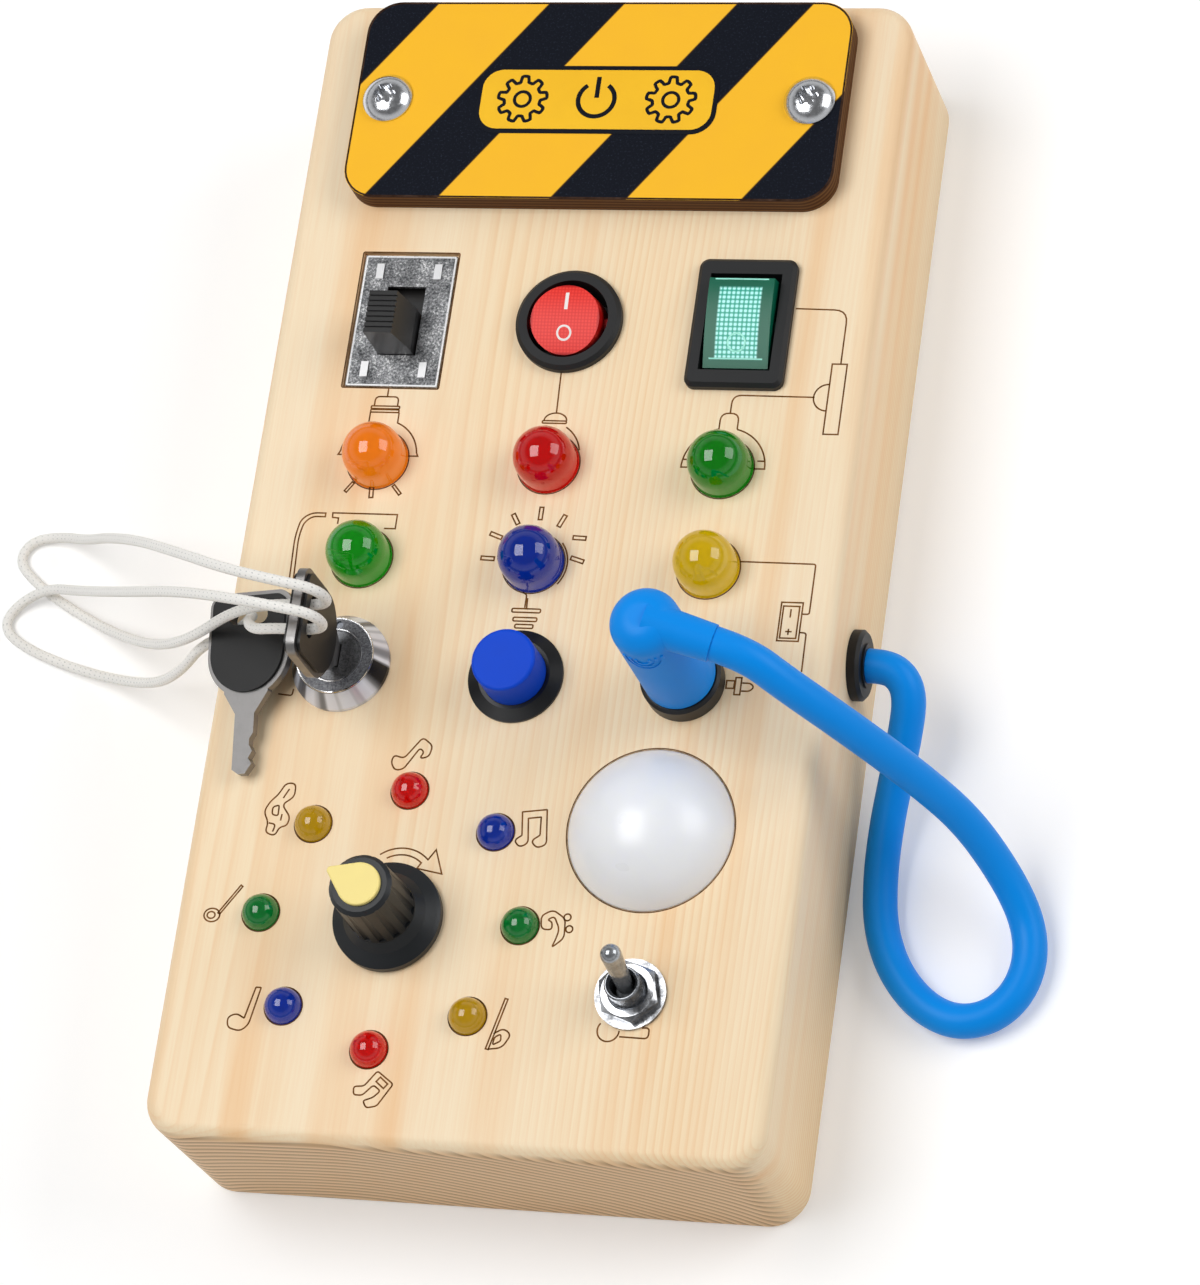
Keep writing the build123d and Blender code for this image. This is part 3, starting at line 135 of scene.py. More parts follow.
def adder(tree):
    """The function that adds one node to a tree, or sets one that is there."""

    def node(kind, *values, stops=(), **settings):
        """A kind is a node's type, and the operation or data type after it; or it is a node to set.

        Own settings come first. Then values go in order to the inputs in use, and the rest to inputs by name.
        A node given as a value is linked by its first output in use. Stops fill the node's colour ramp.
        """
        made = kind
        if isinstance(kind, str):
            kind, _, mode = kind.partition(" ")
            made = tree.nodes.new("ShaderNode" + kind)
            if mode:
                settings["data_type" if kind == "Mix" else "operation"] = mode
        for key in [key for key in settings if hasattr(made, key)]:
            setattr(made, key, settings.pop(key))
        targets = list(zip([socket for socket in made.inputs if socket.enabled], values))
        targets += [(made.inputs[key.replace("_", " ")], value) for key, value in settings.items()]
        for socket, value in targets:
            if isinstance(value, bpy.types.Node):
                value = next(output for output in value.outputs if output.enabled)
            if isinstance(value, bpy.types.NodeSocket):
                tree.links.new(value, socket)
            else:
                socket.default_value = linear(value) if isinstance(value, str) else value
        if stops:
            ramp = made.color_ramp
            while len(ramp.elements) < len(stops):
                ramp.elements.new(0.5)
            for element, (place, colour) in zip(ramp.elements, stops):
                element.position = place
                element.color = linear(colour) if isinstance(colour, str) else (colour, colour, colour, 1)
        return made

    return node


def plain(name, colour, roughness, metallic=0.0, coat=0.0, ior=1.5):
    """A material with one colour so far, and what finishes it: shader, node function, Object coordinates."""
    material = bpy.data.materials.new(name)
    material.use_nodes = True
    shader = material.node_tree.nodes["Principled BSDF"]
    node = adder(material.node_tree)
    node(shader, Base_Color=linear(colour), Roughness=roughness, Metallic=metallic)
    node(shader, Coat_Weight=coat, Coat_Roughness=0.05)
    if not metallic:
        node(shader, IOR=ior)
    return material, shader, node, node("TexCoord").outputs["Object"]


def shaded(colour, share, more=0.0):
    """A colour whose channels are multiplied by a share, with a little more added."""
    return tuple(min(1, c * share + more) for c in linear(colour)[:3]) + (1,)


def moulded(name, colour, roughness, shine=0.5):
    """Injection-moulded ABS: an even colour, with slow changes of tone and gloss from its mould."""
    material, shader, node, place = plain(name, colour, roughness, ior=1.53)
    slow = node("TexNoise", place, Scale=1 / (9 * MM), Detail=3.0)
    gloss = node("MapRange", slow, To_Min=roughness * 0.82, To_Max=roughness * 1.2)
    tone = node("Mix RGBA", slow, shaded(colour, 0.9), shaded(colour, 1.08))
    node(shader, Base_Color=tone, Roughness=gloss, Specular_IOR_Level=shine)
    return material


def pine_wood(name, pale, mid, ring, end_tone):
    """Sanded pine cut flat from the trunk: rings about a pith line below the board's left half.

    Ring radius is the distance from that line, bent by slow noise along the trunk. So the face has broad
    streaks at the left and fine lines at the right, and the ends have level lines. Those are drawn 2.1 mm
    apart, which is wider than on real pine, so that they show. Resin streaks are noise stretched along the
    trunk, and pores are short dashes.
    """
    ring_width, end_ring_width = 0.85 * MM, 2.1 * MM
    material, shader, node, place = plain(name, pale, 0.55)
    sway = node("Mapping", place, Scale=(6.0, 0.9, 6.0))
    drift = node("TexNoise", sway, Scale=1.6, Detail=2.5, Roughness=0.45)
    centred = node("VectorMath SUBTRACT", drift.outputs["Color"], (0.5, 0.5, 0.5))
    shift = node("VectorMath SCALE", centred, 0.02)
    bent = node("VectorMath ADD", place, shift)
    trunk = node("Mapping", bent, Location=(0.034, 0, 0.07), Scale=(1.0, 0.01, 1.0))
    radius = node("VectorMath LENGTH", trunk)
    part = node("Math FRACT", node("Math DIVIDE", radius, ring_width))
    shades = [(0.0, 0.05), (0.4, 0.12), (0.78, 0.7), (0.88, 1.0), (0.97, 0.35), (1.0, 0.05)]
    patch = node("TexNoise", sway, Scale=3.4, Detail=3.0)
    weight = node("MapRange", patch, 0.38, 0.72, 0.06, 0.6)
    ringed = node("Math MULTIPLY", node("ValToRGB", part, stops=shades), weight)
    warm = node("Mix RGBA", patch, linear(pale), mid)
    toned = node("Mix RGBA", ringed, warm, ring)
    resin = node("TexNoise", node("Mapping", bent, Scale=(75.0, 3.0, 75.0)), Scale=1.0, Detail=2.0)
    glow = node("MapRange", resin, 0.5, 0.7, To_Max=0.7)
    warmed = node("Mix RGBA", glow, toned, "#F1BE84")
    dashes = node("Mapping", bent, Scale=(1900.0, 45.0, 1900.0))
    pores = node("TexNoise", dashes, Scale=1.0, Detail=2.0, Roughness=0.6)
    flecks = node("MapRange", pores, 0.42, 0.64, To_Max=0.12)
    pored = node("Mix RGBA", flecks, warmed, ring)
    facing = node("SeparateXYZ", place.node.outputs["Normal"])
    ends = node("Math ABSOLUTE", facing.outputs["Y"])
    end_share = node("MapRange", ends, 0.75, 0.97, To_Max=0.9)
    end_part = node("Math FRACT", node("Math DIVIDE", radius, end_ring_width))
    band = node("MapRange", end_part, 0.3, 0.9, To_Max=0.8)
    sawn = node("Mix RGBA", band, end_tone, "#8E6234")
    node(shader, Base_Color=node("Mix RGBA", end_share, pored, sawn))
    return material


def burn_and_gap_shade(name, colour):
    """Burnt line of a laser: dark brown char that fades where the beam moved faster. It also paints the shade
    in the gaps round holes.
    """
    material, shader, node, place = plain(name, colour, 0.85)
    noise = node("TexNoise", place, Scale=1 / (2.2 * MM), Detail=3.0)
    fade = node("MapRange", noise, 0.35, 0.75)
    tone = node("Mix RGBA", fade, linear(colour), shaded(colour, 2.2, 0.02))
    node(shader, Base_Color=tone, Specular_IOR_Level=0.1)
    return material


def striped_plywood(light, dark):
    """Printed and laser-cut plywood: slanting stripes with a thin burnt joint, layered edges and print grain.

    A stripe's phase is x minus y times the slope, over the stripes' period.
    """
    slope, shift, period, ply = 0.755, 65 * MM, 40.6 * MM, 1.25 * MM
    dark_share, burn = 0.398, 0.008
    material, shader, node, place = plain("printed laser-cut plywood", light, 0.62)
    axes = node("SeparateXYZ", place)
    lean = node("Math MULTIPLY", axes.outputs["Y"], slope)
    along = node("Math SUBTRACT", axes.outputs["X"], lean)
    turns = node("Math DIVIDE", node("Math ADD", along, shift), period)
    phase = node("Math FRACT", turns)
    paint = node("ValToRGB", phase, stops=[(0.0, 0.0), (dark_share, 1.0)])
    paint.color_ramp.interpolation = "CONSTANT"
    speck = node("TexNoise", place, Scale=1 / (0.45 * MM), Detail=3.0, Roughness=0.7)
    worn = node("MapRange", speck, 0.56, 0.8, To_Max=0.5)
    navy = node("Mix RGBA", worn, linear(dark), "#465064")
    slow = node("TexNoise", place, Scale=1 / (8 * MM), Detail=2.0)
    gold = node("Mix RGBA", slow, linear(light), "#FBBC30")
    colour = node("Mix RGBA", paint, navy, gold)
    middle = [(dark_share - burn, 0.0), (dark_share, 1.0), (dark_share + burn, 0.0)]
    joint = node("ValToRGB", phase, stops=[(0.0, 1.0), (burn, 0.0), *middle, (1 - burn, 0.0), (1.0, 1.0)])
    printed = node("Mix RGBA", joint, colour, "#3A2412")
    layer = node("Math FRACT", node("Math MULTIPLY", axes.outputs["Z"], 1 / ply))
    edge = node("ValToRGB", layer, stops=[(0.0, "#36200F"), (0.4, "#7A5330"), (0.7, "#4E3019")])
    facing = node("SeparateXYZ", place.node.outputs["Normal"])
    top = node("MapRange", facing.outputs["Z"], 0.55, 0.75)
    node(shader, Base_Color=node("Mix RGBA", top, edge, printed), Specular_IOR_Level=0.12)
    return material


def plated(name, colour, roughness, mottle=0.0, mottle_mm=0.8, metallic=1.0):
    """Plated metal: a mirror-like skin, broken by a mottle of crystals or by fine turning marks."""
    material, shader, node, place = plain(name, colour, roughness, metallic)
    grain = node("TexNoise", place, Scale=1 / (mottle_mm * MM), Detail=5.0, Roughness=0.75)
    node(shader, Roughness=node("MapRange", grain, 0.3, 0.7, roughness * 0.7, roughness * 1.3 + 0.05))
    if mottle:
        spread = node("MapRange", grain, 0.4, 0.62)
        tone = node("Mix RGBA", spread, shaded(colour, 1 - mottle), linear(colour))
        node(shader, Base_Color=tone)
    return material


def spangled(name, lug_z):
    """Nickel-plated pressed sheet: dark and white flecks over slow cloudy patches, and lugs painted bright as
    a highlight.
    """
    material, shader, node, place = plain(name, "#B0B1B3", 0.34, 0.85)
    cloud = node("TexNoise", place, Scale=1 / (5 * MM), Detail=2.0)
    fleck = node("TexNoise", place, Scale=1 / (0.5 * MM), Detail=4.0, Roughness=0.8)
    greys = [(0.38, "#3A3B3D"), (0.46, "#6A6B6D"), (0.55, "#98999B"), (0.64, "#F4F4F4")]
    sheet = node("ValToRGB", node("Mix", 0.72, cloud, fleck), stops=greys)
    height = node("SeparateXYZ", place).outputs["Z"]
    # Painted highlight: the raised lugs are coloured near white.
    lug_highlight = node("MapRange", height, (lug_z + 0.05) * MM, (lug_z + 0.2) * MM)
    node(shader, Base_Color=node("Mix RGBA", lug_highlight, sheet, "#E8E8E9"))
    return material


def tinted_lens(name, colour):
    """Clear tinted epoxy, cast and polished: light passes to the core and picks up the tint."""
    material, shader, node, _ = plain(name, colour, 0.03, coat=0.3, ior=1.52)
    node(shader, Specular_IOR_Level=0.35, Transmission_Weight=1.0)
    return material


def lens_core(name, colour, light):
    """Diffusing epoxy core: painted light, a faint glow and a lighter foot, stands in for the light it
    gathers.
    """
    material, shader, node, place = plain(name, colour, 0.6)
    height = node("SeparateXYZ", place).outputs["Z"]
    rise = node("MapRange", height, (FACE - 1) * MM, (FACE + 5) * MM)
    # Painted light: the core is lighter towards its foot, and its faint emission is a painted glow.
    node(shader, Base_Color=node("Mix RGBA", rise, light, colour), Specular_IOR_Level=0.0)
    node(shader, Emission_Color=colour, Emission_Strength=0.4)
    return material


def braided(colour, shade):
    """Braided polyester cord: two sets of strands that cross, with painted grey shade between them.

    The cord's own attribute "braid" is 1 on a strand's crown and falls between strands.
    """
    material, shader, node, place = plain("braided polyester", colour, 0.75)
    fibres = node("TexNoise", place, Scale=1 / (0.35 * MM), Detail=3.0)
    crowns = node("Attribute", attribute_name="braid").outputs["Fac"]
    spread = node("MapRange", node("Math MULTIPLY", crowns, fibres), 0.02, 0.3)
    # Painted shade: grey where neither set of strands has its crown.
    node(shader, Base_Color=node("Mix RGBA", spread, shade, colour), Sheen_Weight=0.3)
    return material


def silicone(name, colour):
    """Extruded and moulded silicone rubber: a smooth skin with a soft, slowly changing gloss."""
    material, shader, node, place = plain(name, colour, 0.42, ior=1.41)
    slow = node("TexNoise", place, Scale=1 / (14 * MM), Detail=3.0)
    node(shader, Roughness=node("MapRange", slow, To_Min=0.34, To_Max=0.52), Specular_IOR_Level=0.25)
    return material


def milky_dome():
    """Thin blown polycarbonate with a diffusing pigment: white, glossy, and faintly see-through."""
    material, shader, node, place = plain("milky polycarbonate", "#F5F7FC", 0.3, ior=1.58)
    slow = node("TexNoise", place, Scale=1 / (12 * MM), Detail=2.0)
    node(shader, Roughness=node("MapRange", slow, To_Min=0.24, To_Max=0.36))
    node(shader, Subsurface_Weight=0.35, Subsurface_Radius=(0.004, 0.004, 0.005))
    return material


def turned_chrome(name, x, y, face_z):
    """Chromed die casting: the cone has painted reflections, dark and bright sectors by angle round its axis,
    and the face is dull and grainy.
    """
    material, shader, node, place = plain(name, "#D8DADD", 0.3, 0.4)
    axes = node("SeparateXYZ", node("Mapping", place, Location=(-x * MM, -y * MM, 0)))
    angle = node("Math ARCTAN2", axes.outputs["Y"], axes.outputs["X"])
    sectors = node("TexNoise", angle, noise_dimensions="1D", Scale=1.5, Detail=1.5)
    # Painted reflection: bright and dark bands by angle round the lock's axis.
    reflection_stops = [(0.38, "#1C1D22"), (0.44, "#868A92"), (0.5, "#E6EEFF"), (0.58, "#E6EEFF"), (0.66, "#666A74")]
    painted_reflection = node("ValToRGB", sectors, stops=reflection_stops)
    grain = node("TexNoise", place, Scale=1 / (0.35 * MM), Detail=4.0, Roughness=0.7)
    dull = node("ValToRGB", grain, stops=[(0.35, "#44454A"), (0.65, "#8B8C90")])
    height = node("MapRange", axes.outputs["Z"], (face_z - 0.3) * MM, (face_z - 0.1) * MM)
    rough = node("MapRange", height, To_Min=0.25, To_Max=0.5)
    node(shader, Base_Color=node("Mix RGBA", height, painted_reflection, dull), Roughness=rough)
    return material


def lit_rocker(name, x, body, dark, light, half_width, half_length, pitch_mm, roughness):
    """Moulded translucent rocker: rows of tiny pyramids in a window, as sines of the top's two directions.

    The window's edge is the larger of the two shares of the half sizes, so it is a rectangle.
    """
    material, shader, node, place = plain(name, body, roughness, ior=1.49)
    pivot = (x * MM, SWITCH_ROW * MM, ROCKER_PIVOT * MM)
    tilt = (math.radians(ROCKER_TILT), 0, 0)
    own = node("Mapping", place, vector_type="TEXTURE", Location=pivot, Rotation=tilt)
    axes = node("SeparateXYZ", own)
    waves, shares = [], []
    for axis, half in (("X", half_width), ("Y", half_length)):
        steps = node("Math MULTIPLY", axes.outputs[axis], math.pi / (pitch_mm * MM))
        waves.append(node("Math SINE", steps))
        away = node("Math ABSOLUTE", axes.outputs[axis])
        shares.append(node("Math DIVIDE", away, half * MM))
    dots = node("Math ABSOLUTE", node("Math MULTIPLY", *waves))
    lens = node("Mix RGBA", node("MapRange", dots, 0.1, 0.75), dark, light)
    window = node("MapRange", node("Math MAXIMUM", *shares), 0.96, 1.04, 1, 0)
    node(shader, Base_Color=node("Mix RGBA", window, body, lens), Specular_IOR_Level=0.3)
    return material


# ---------------------------------------------------------------- surfaces


def give(material, *names):
    """Gives CAD nodes a material in place of their packed one."""
    for name in names:
        mesh = nodes[name].data
        mesh.materials.clear()
        mesh.materials.append(material)


def box_mm(name):
    """A CAD node's lowest and highest corners in millimetres."""
    return (np.array(corner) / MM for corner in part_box(name))


def placed(name, data):
    """A new object in the scene."""
    obj = bpy.data.objects.new(name, data)
    bpy.context.scene.collection.objects.link(obj)
    return obj


def aimed(right, up, back, place):
    """A matrix from an object's three axes and its place."""
    return Matrix(np.stack([right, up, back, place], -1).tolist() + [[0, 0, 0, 1]])


def piece(name, points, faces, material, body, slot, sharp=35):
    """A finished piece from points in millimetres: merged, outward, smooth but for its sharp edges.
    """
    mesh = bpy.data.meshes.new(name)
    mesh.from_pydata((np.asarray(points) * MM).tolist(), [], [list(map(int, f)) for f in faces])
    made = bmesh.new()
    made.from_mesh(mesh)
    bmesh.ops.remove_doubles(made, verts=made.verts, dist=1e-7)
    bmesh.ops.dissolve_degenerate(made, edges=made.edges, dist=1e-8)
    bmesh.ops.recalc_face_normals(made, faces=made.faces)
    made.to_mesh(mesh)
    made.free()
    mesh.polygons.foreach_set("use_smooth", np.ones(len(mesh.polygons), bool))
    mesh.set_sharp_from_angle(angle=math.radians(sharp))
    mesh.materials.append(material)
    obj = placed(name, mesh)
    if body:
        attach(obj, body)
    return obj


def grid_faces(rows, columns):
    """Quads of a grid whose points run row by row, with the last column joined to the first."""
    row = np.arange(rows - 1)[:, None] * columns
    here = np.arange(columns)[None, :]
    after = (here + 1) % columns
    return np.stack([row + here, row + after, row + columns + after, row + columns + here], -1).reshape(-1, 4)


def softened(points, cut, closed=False):
    """Rounds each corner by a quadratic curve from cut before it to cut after it, at most half a side."""
    points = np.asarray(points, float)
    cut = np.broadcast_to(cut, len(points))
    t = np.linspace(0, 1, 6)[:, None]
    out = []
    for i, corner in enumerate(points):
        if not closed and i in (0, len(points) - 1) or cut[i] <= 0:
            out.append(corner[None])
            continue
        before, after = points[i - 1] - corner, points[(i + 1) % len(points)] - corner
        size = min(cut[i], np.linalg.norm(before) * 0.49, np.linalg.norm(after) * 0.49)
        a, b = (corner + side / np.linalg.norm(side) * size for side in (before, after))
        out.append((1 - t) ** 2 * a + 2 * t * (1 - t) * corner + t**2 * b)
    return np.concatenate(out)


def turned(profile, x, y, segments=72):
    """A turned surface: each (radius, height) of the profile goes round the vertical axis at x, y."""
    radius, height = np.asarray(profile, float).T[:, :, None]
    angle = np.arange(segments) / segments * math.tau
    points = np.stack([x + radius * np.cos(angle), y + radius * np.sin(angle), height + 0 * angle], -1)
    return points.reshape(-1, 3), grid_faces(len(profile), segments)


def hexagon_nut(x, y, low, high, flats, bore, turn):
    """A nut: its radius is half the flats over the cosine of the angle from the nearest flat's middle.

    The chamfer is a 30 degree cone: a corner's top is lower than the flat's by 0.577 of the extra radius.
    """
    steps, chamfer = 96, 0.25
    degrees = np.arange(steps) * 360 / steps
    angle = math.radians(turn) + np.radians(degrees)
    flat, hole = np.full(steps, flats / 2), np.full(steps, bore)
    outer = flat / np.cos(np.radians(degrees % 60 - 30))
    shoulder = high - 0.577 * (outer - flat + chamfer)
    rings = [(hole, low), (outer, low), (outer, shoulder), (flat - chamfer, high)]
    rings += [(hole + 0.5, high), (hole, high - 0.4), (hole, low)]
    points = [np.stack([x + r * np.cos(angle), y + r * np.sin(angle), z + 0 * r], -1) for r, z in rings]
    return np.concatenate(points), grid_faces(len(rings), steps)


def strip(path, width, height, closed, z=FACE):
    """A low ribbon along a path: its section is a flat arch, widest at the foot, and it is mitred at corners.

    At each point the offset is along the mean normal of the two sides, over the cosine of half the turn.
    """
    path = np.asarray(path, float)
    ahead = np.roll(path, -1, 0) - path
    behind = path - np.roll(path, 1, 0)
    if not closed:
        ahead[-1], behind[0] = behind[-1], ahead[0]
    ahead /= np.linalg.norm(ahead, axis=1, keepdims=True)
    behind /= np.linalg.norm(behind, axis=1, keepdims=True)
    mean = ahead + behind
    mean /= np.maximum(np.linalg.norm(mean, axis=1, keepdims=True), 1e-6)
    normal = np.stack([-mean[:, 1], mean[:, 0]], -1)
    stretch = 1 / np.clip(np.sum(mean * ahead, 1), 0.5, 1)[:, None]
    sides = np.array([-0.5, -0.34, 0.34, 0.5])
    levels = z + np.array([-0.02, height, height, -0.02])
    flat = path[:, None, :] + normal[:, None, :] * stretch[:, None] * (sides * width)[None, :, None]
    points = np.concatenate([flat, np.broadcast_to(levels[None, :, None], flat.shape[:2] + (1,))], -1)
    if closed:
        points = np.concatenate([points, points[:1]])
    faces = [list(f) for f in grid_faces(len(points), 4)]
    if not closed:
        faces += [[3, 2, 1, 0], [4 * len(points) - k for k in (4, 3, 2, 1)]]
    return points.reshape(-1, 3), faces


def laid_on(surface, node):
    """Lays a surface drawn at the face's level on a CAD node: each point moves to the node's top below it."""
    mesh = nodes[node].data
    tree = BVHTree.FromPolygons([v.co[:] for v in mesh.vertices], [p.vertices[:] for p in mesh.polygons])
    points, faces = surface
    points = np.array(points, float)
    for point in points:
        spot = tree.ray_cast((point[0] * MM, point[1] * MM, 1.0), (0, 0, -1))[0]
        point[2] += spot.z / MM - FACE
    return points, faces


def joined(parts):
    """Several surfaces as one list of points and faces."""
    points, faces, count = [], [], 0
    for p, f in parts:
        points.append(np.asarray(p))
        faces += [[int(i) + count for i in face] for face in f]
        count += len(p)
    return np.concatenate(points), faces


def slab(outline, low, high, bevel):
    """A flat plate from an outline: walls between two levels, a small bevel at the top, both faces closed."""
    outline = np.asarray(outline, float)
    centre = outline.mean(0)
    inner = centre + (outline - centre) * (1 - bevel)
    count = len(outline)
    rings = [(outline, low), (outline, high - bevel * 2), (inner, high)]
    points = np.concatenate([np.column_stack([edge, np.full(count, z)]) for edge, z in rings])
    faces = [list(f) for f in grid_faces(3, count)]
    faces += [list(range(count))[::-1], list(range(2 * count, 3 * count))]
    return points, faces


def arc(x, y, radius, start_angle, end_angle, steps=24):
    """Points on a circle between two angles in degrees."""
    angle = np.radians(np.linspace(start_angle, end_angle, steps))
    return np.stack([x + radius * np.cos(angle), y + radius * np.sin(angle)], -1)


def ring(x, y, radius, steps=48):
    """Points all round a circle, for a closed line."""
    return arc(x, y, radius, 0, 360, steps + 1)[:-1]


def rounded_box(x, y, width, length, corner):
    """A rectangle about x, y with a quarter circle at each corner."""
    a, b = width / 2 - corner, length / 2 - corner
    turns = [(1, 1, 0), (-1, 1, 90), (-1, -1, 180), (1, -1, 270)]
    return np.concatenate([arc(x + i * a, y + j * b, corner, start, start + 90, 9) for i, j, start in turns])


def cog(x, y, radius, teeth):
    """A cog's outline: the radius follows the sine of teeth times the angle, squared off by tanh."""
    angle = np.arange(teeth * 16) / (teeth * 16) * math.tau
    r = radius + 0.7 * np.tanh(3 * np.sin(teeth * angle))
    return np.stack([x + r * np.cos(angle), y + r * np.sin(angle)], -1)


def bar(x0, y0, x1, y1, width):
    """Corners of a thin bar that runs from one point to the other."""
    start, end = np.array((x0, y0), float), np.array((x1, y1), float)
    way = (end - start) / np.linalg.norm(end - start)
    side = np.array((-way[1], way[0])) * width / 2
    return np.array([start + side, end + side, end - side, start - side])


def mirrored(line, x):
    """A line's mirror image about the upright through x."""
    return np.asarray(line, float) * (-1, 1) + (2 * x, 0)


def tube(path, radius, segments, profile=None):
    """A tube along a path by parallel frames: each is the last one turned by the bend between two tangents.

    The profile gives the radius's share at a length along the path and an angle round it.
    """
    path = np.asarray(path, float)
    tangent = np.gradient(path, axis=0)
    tangent /= np.linalg.norm(tangent, axis=1, keepdims=True)
    side = np.cross(tangent[0], (0, 0, 1.0) if abs(tangent[0][2]) < 0.9 else (0, 1.0, 0))
    sides = np.empty_like(path)
    for i, way in enumerate(tangent):
        side = side - way * side.dot(way)
        side /= np.linalg.norm(side)
        sides[i] = side
    across = np.cross(tangent, sides)
    angle = np.arange(segments) / segments * math.tau
    length = np.concatenate([[0], np.cumsum(np.linalg.norm(np.diff(path, axis=0), axis=1))])
    r = radius * (profile(length[:, None], angle[None, :]) if profile else np.ones((len(path), segments)))
    points = path[:, None] + r[..., None] * (
        sides[:, None] * np.cos(angle)[None, :, None] + across[:, None] * np.sin(angle)[None, :, None]
    )
    faces = [list(f) for f in grid_faces(len(path), segments)]
    faces += [list(range(segments))[::-1], list(range((len(path) - 1) * segments, len(path) * segments))]
    return points.reshape(-1, 3), faces, length


def spline_spots(route, spacing):
    """Points in millimetres, evenly spaced, on a NURBS spline of order 3 with the route's points."""
    curve = bpy.data.curves.new("route", "CURVE")
    curve.dimensions = "3D"
    line = curve.splines.new("NURBS")
    line.points.add(len(route) - 1)
    for spot, place in zip(line.points, np.array(route) * MM):
        spot.co = (*place, 1)
    line.order_u = 3
    line.use_endpoint_u = True
    line.resolution_u = 12
    holder = placed("route", curve)
    bpy.context.view_layer.update()
    mesh = bpy.data.meshes.new_from_object(holder.evaluated_get(bpy.context.evaluated_depsgraph_get()))
    spots = np.array([v.co for v in mesh.vertices]) / MM
    bpy.data.objects.remove(holder)
    away = np.concatenate([[0], np.cumsum(np.linalg.norm(np.diff(spots, axis=0), axis=1))])
    even = np.linspace(0, away[-1], int(away[-1] / spacing))
    return np.stack([np.interp(even, away, spots[:, k]) for k in range(3)], -1)


# ---------------------------------------------------------------- routes and lamps

LEAD_ROUTE = [
    (66.4, -13.5, 20), (70.4, -13.5, 20), (73.7, -15.6, 19.0), (75.0, -19.2, 17.2),
    (74.2, -25.2, 14.2), (72.5, -33.6, 10.4), (70.8, -43.0, 6.8), (70.2, -53.2, 4.2),
    (71.4, -63.2, 3.6), (75.4, -72.2, 3.6), (81.8, -79.0, 3.6), (89.0, -82.0, 3.6),
    (96.0, -80.4, 3.6), (100.9, -75.2, 3.6), (102.7, -67.4, 3.6), (100.9, -59.3, 5.0),
    (96.1, -51.6, 11.0), (90.2, -45.4, 21.5), (83.0, -42.0, 33.6), (75.6, -39.2, 44.8),
    (68.4, -36.6, 54.6), (61.4, -33.8, 62.2), (54.9311, -30.4357, 67.5201), (48.2874, -29.0238, 69.2134),
]

CORD_HOLE = 65.55  # height of the hole through the key's grip
UPPER_LOOP = [
    (-36.9, -22.4, CORD_HOLE), (-31.6, -22.4, CORD_HOLE), (-31.4, -22.6, 74.4), (-40.6, -21.8, 77.0),
    (-52.0, -18.4, 73.5), (-66.0, -11.6, 64.0), (-82.0, -2.6, 48.0), (-98.0, 6.4, 27.0),
    (-110.0, 13.0, 9.0), (-119.6, 16.6, 1.6), (-126.2, 15.6, 1.2), (-128.4, 11.0, 1.2),
    (-124.8, 6.8, 1.2), (-115.8, 0.8, 1.3), (-102.4, -6.6, 6.0), (-84.6, -16.4, 24.0),
    (-69.0, -22.4, 44.0), (-55.6, -20.6, 56.5), (-43.5, -22.4, CORD_HOLE), (-37.1, -22.4, CORD_HOLE),
]
LOWER_LOOP = [
    (-36.9, -27.6, CORD_HOLE), (-31.6, -27.6, CORD_HOLE), (-31.4, -27.8, 74.4), (-40.5, -27.2, 77.0),
    (-52.0, -24.2, 73.0), (-66.0, -19.2, 62.5), (-82.0, -13.1, 46.0), (-97.6, -5.6, 26.5),
    (-109.2, 0.2, 12.0), (-119.2, 3.6, 4.4), (-127.0, 0.6, 1.3), (-129.2, -4.6, 1.2),
    (-123.8, -8.9, 1.2), (-111.6, -13.4, 1.4), (-98.0, -17.4, 5.5), (-85.2, -22.0, 17.0),
    (-74.8, -24.2, 31.0), (-67.0, -22.4, 41.6), (-59.1, -18.6, 41.5), (-54.8, -17.2, 46.8),
    (-53.2, -22.0, 54.0), (-48.5, -26.4, 61.5), (-42.6, -27.6, CORD_HOLE), (-37.1, -27.6, CORD_HOLE),
]

# name: x, y, tint, core, painted lighter colour of the core's foot
LARGE_LAMPS = {
    "orange": (-36.5, 20.0, "#FBC074", "#EC9A20", "#FCC45C"),
    "red": (0.0, 20.0, "#FF3424", "#BC0A02", "#F8502C"),
    "green_right": (36.5, 20.0, "#24C048", "#02941C", "#78CC62"),
    "green_left": (-36.5, -1.7, "#28C84C", "#04A020", "#86D670"),
    "blue": (0.0, -1.7, "#7896E4", "#103E98", "#5C7CDA"),
    "yellow": (36.5, -1.7, "#F0DC34", "#D2BA08", "#F2E058"),
}
# name: tint, core, painted lighter colour of the core's foot, eighths of a turn round the ring
SMALL_LAMPS = {
    "green": ("#40C07E", "#058246", "#38A868", (0, 4)),
    "blue": ("#6C90DC", "#0C3E98", "#4068C8", (1, 5)),
    "red": ("#FF4434", "#B40A04", "#EC4424", (2, 6)),
    "yellow": ("#F0DA58", "#B4960A", "#CCB032", (3, 7)),
}


def ring_place(turn):
    """The middle of a small lamp, so many eighths of a turn round the ring."""
    return arc(*RING, 45 * turn, 45 * turn, 1)[0]


# ---------------------------------------------------------------- operators


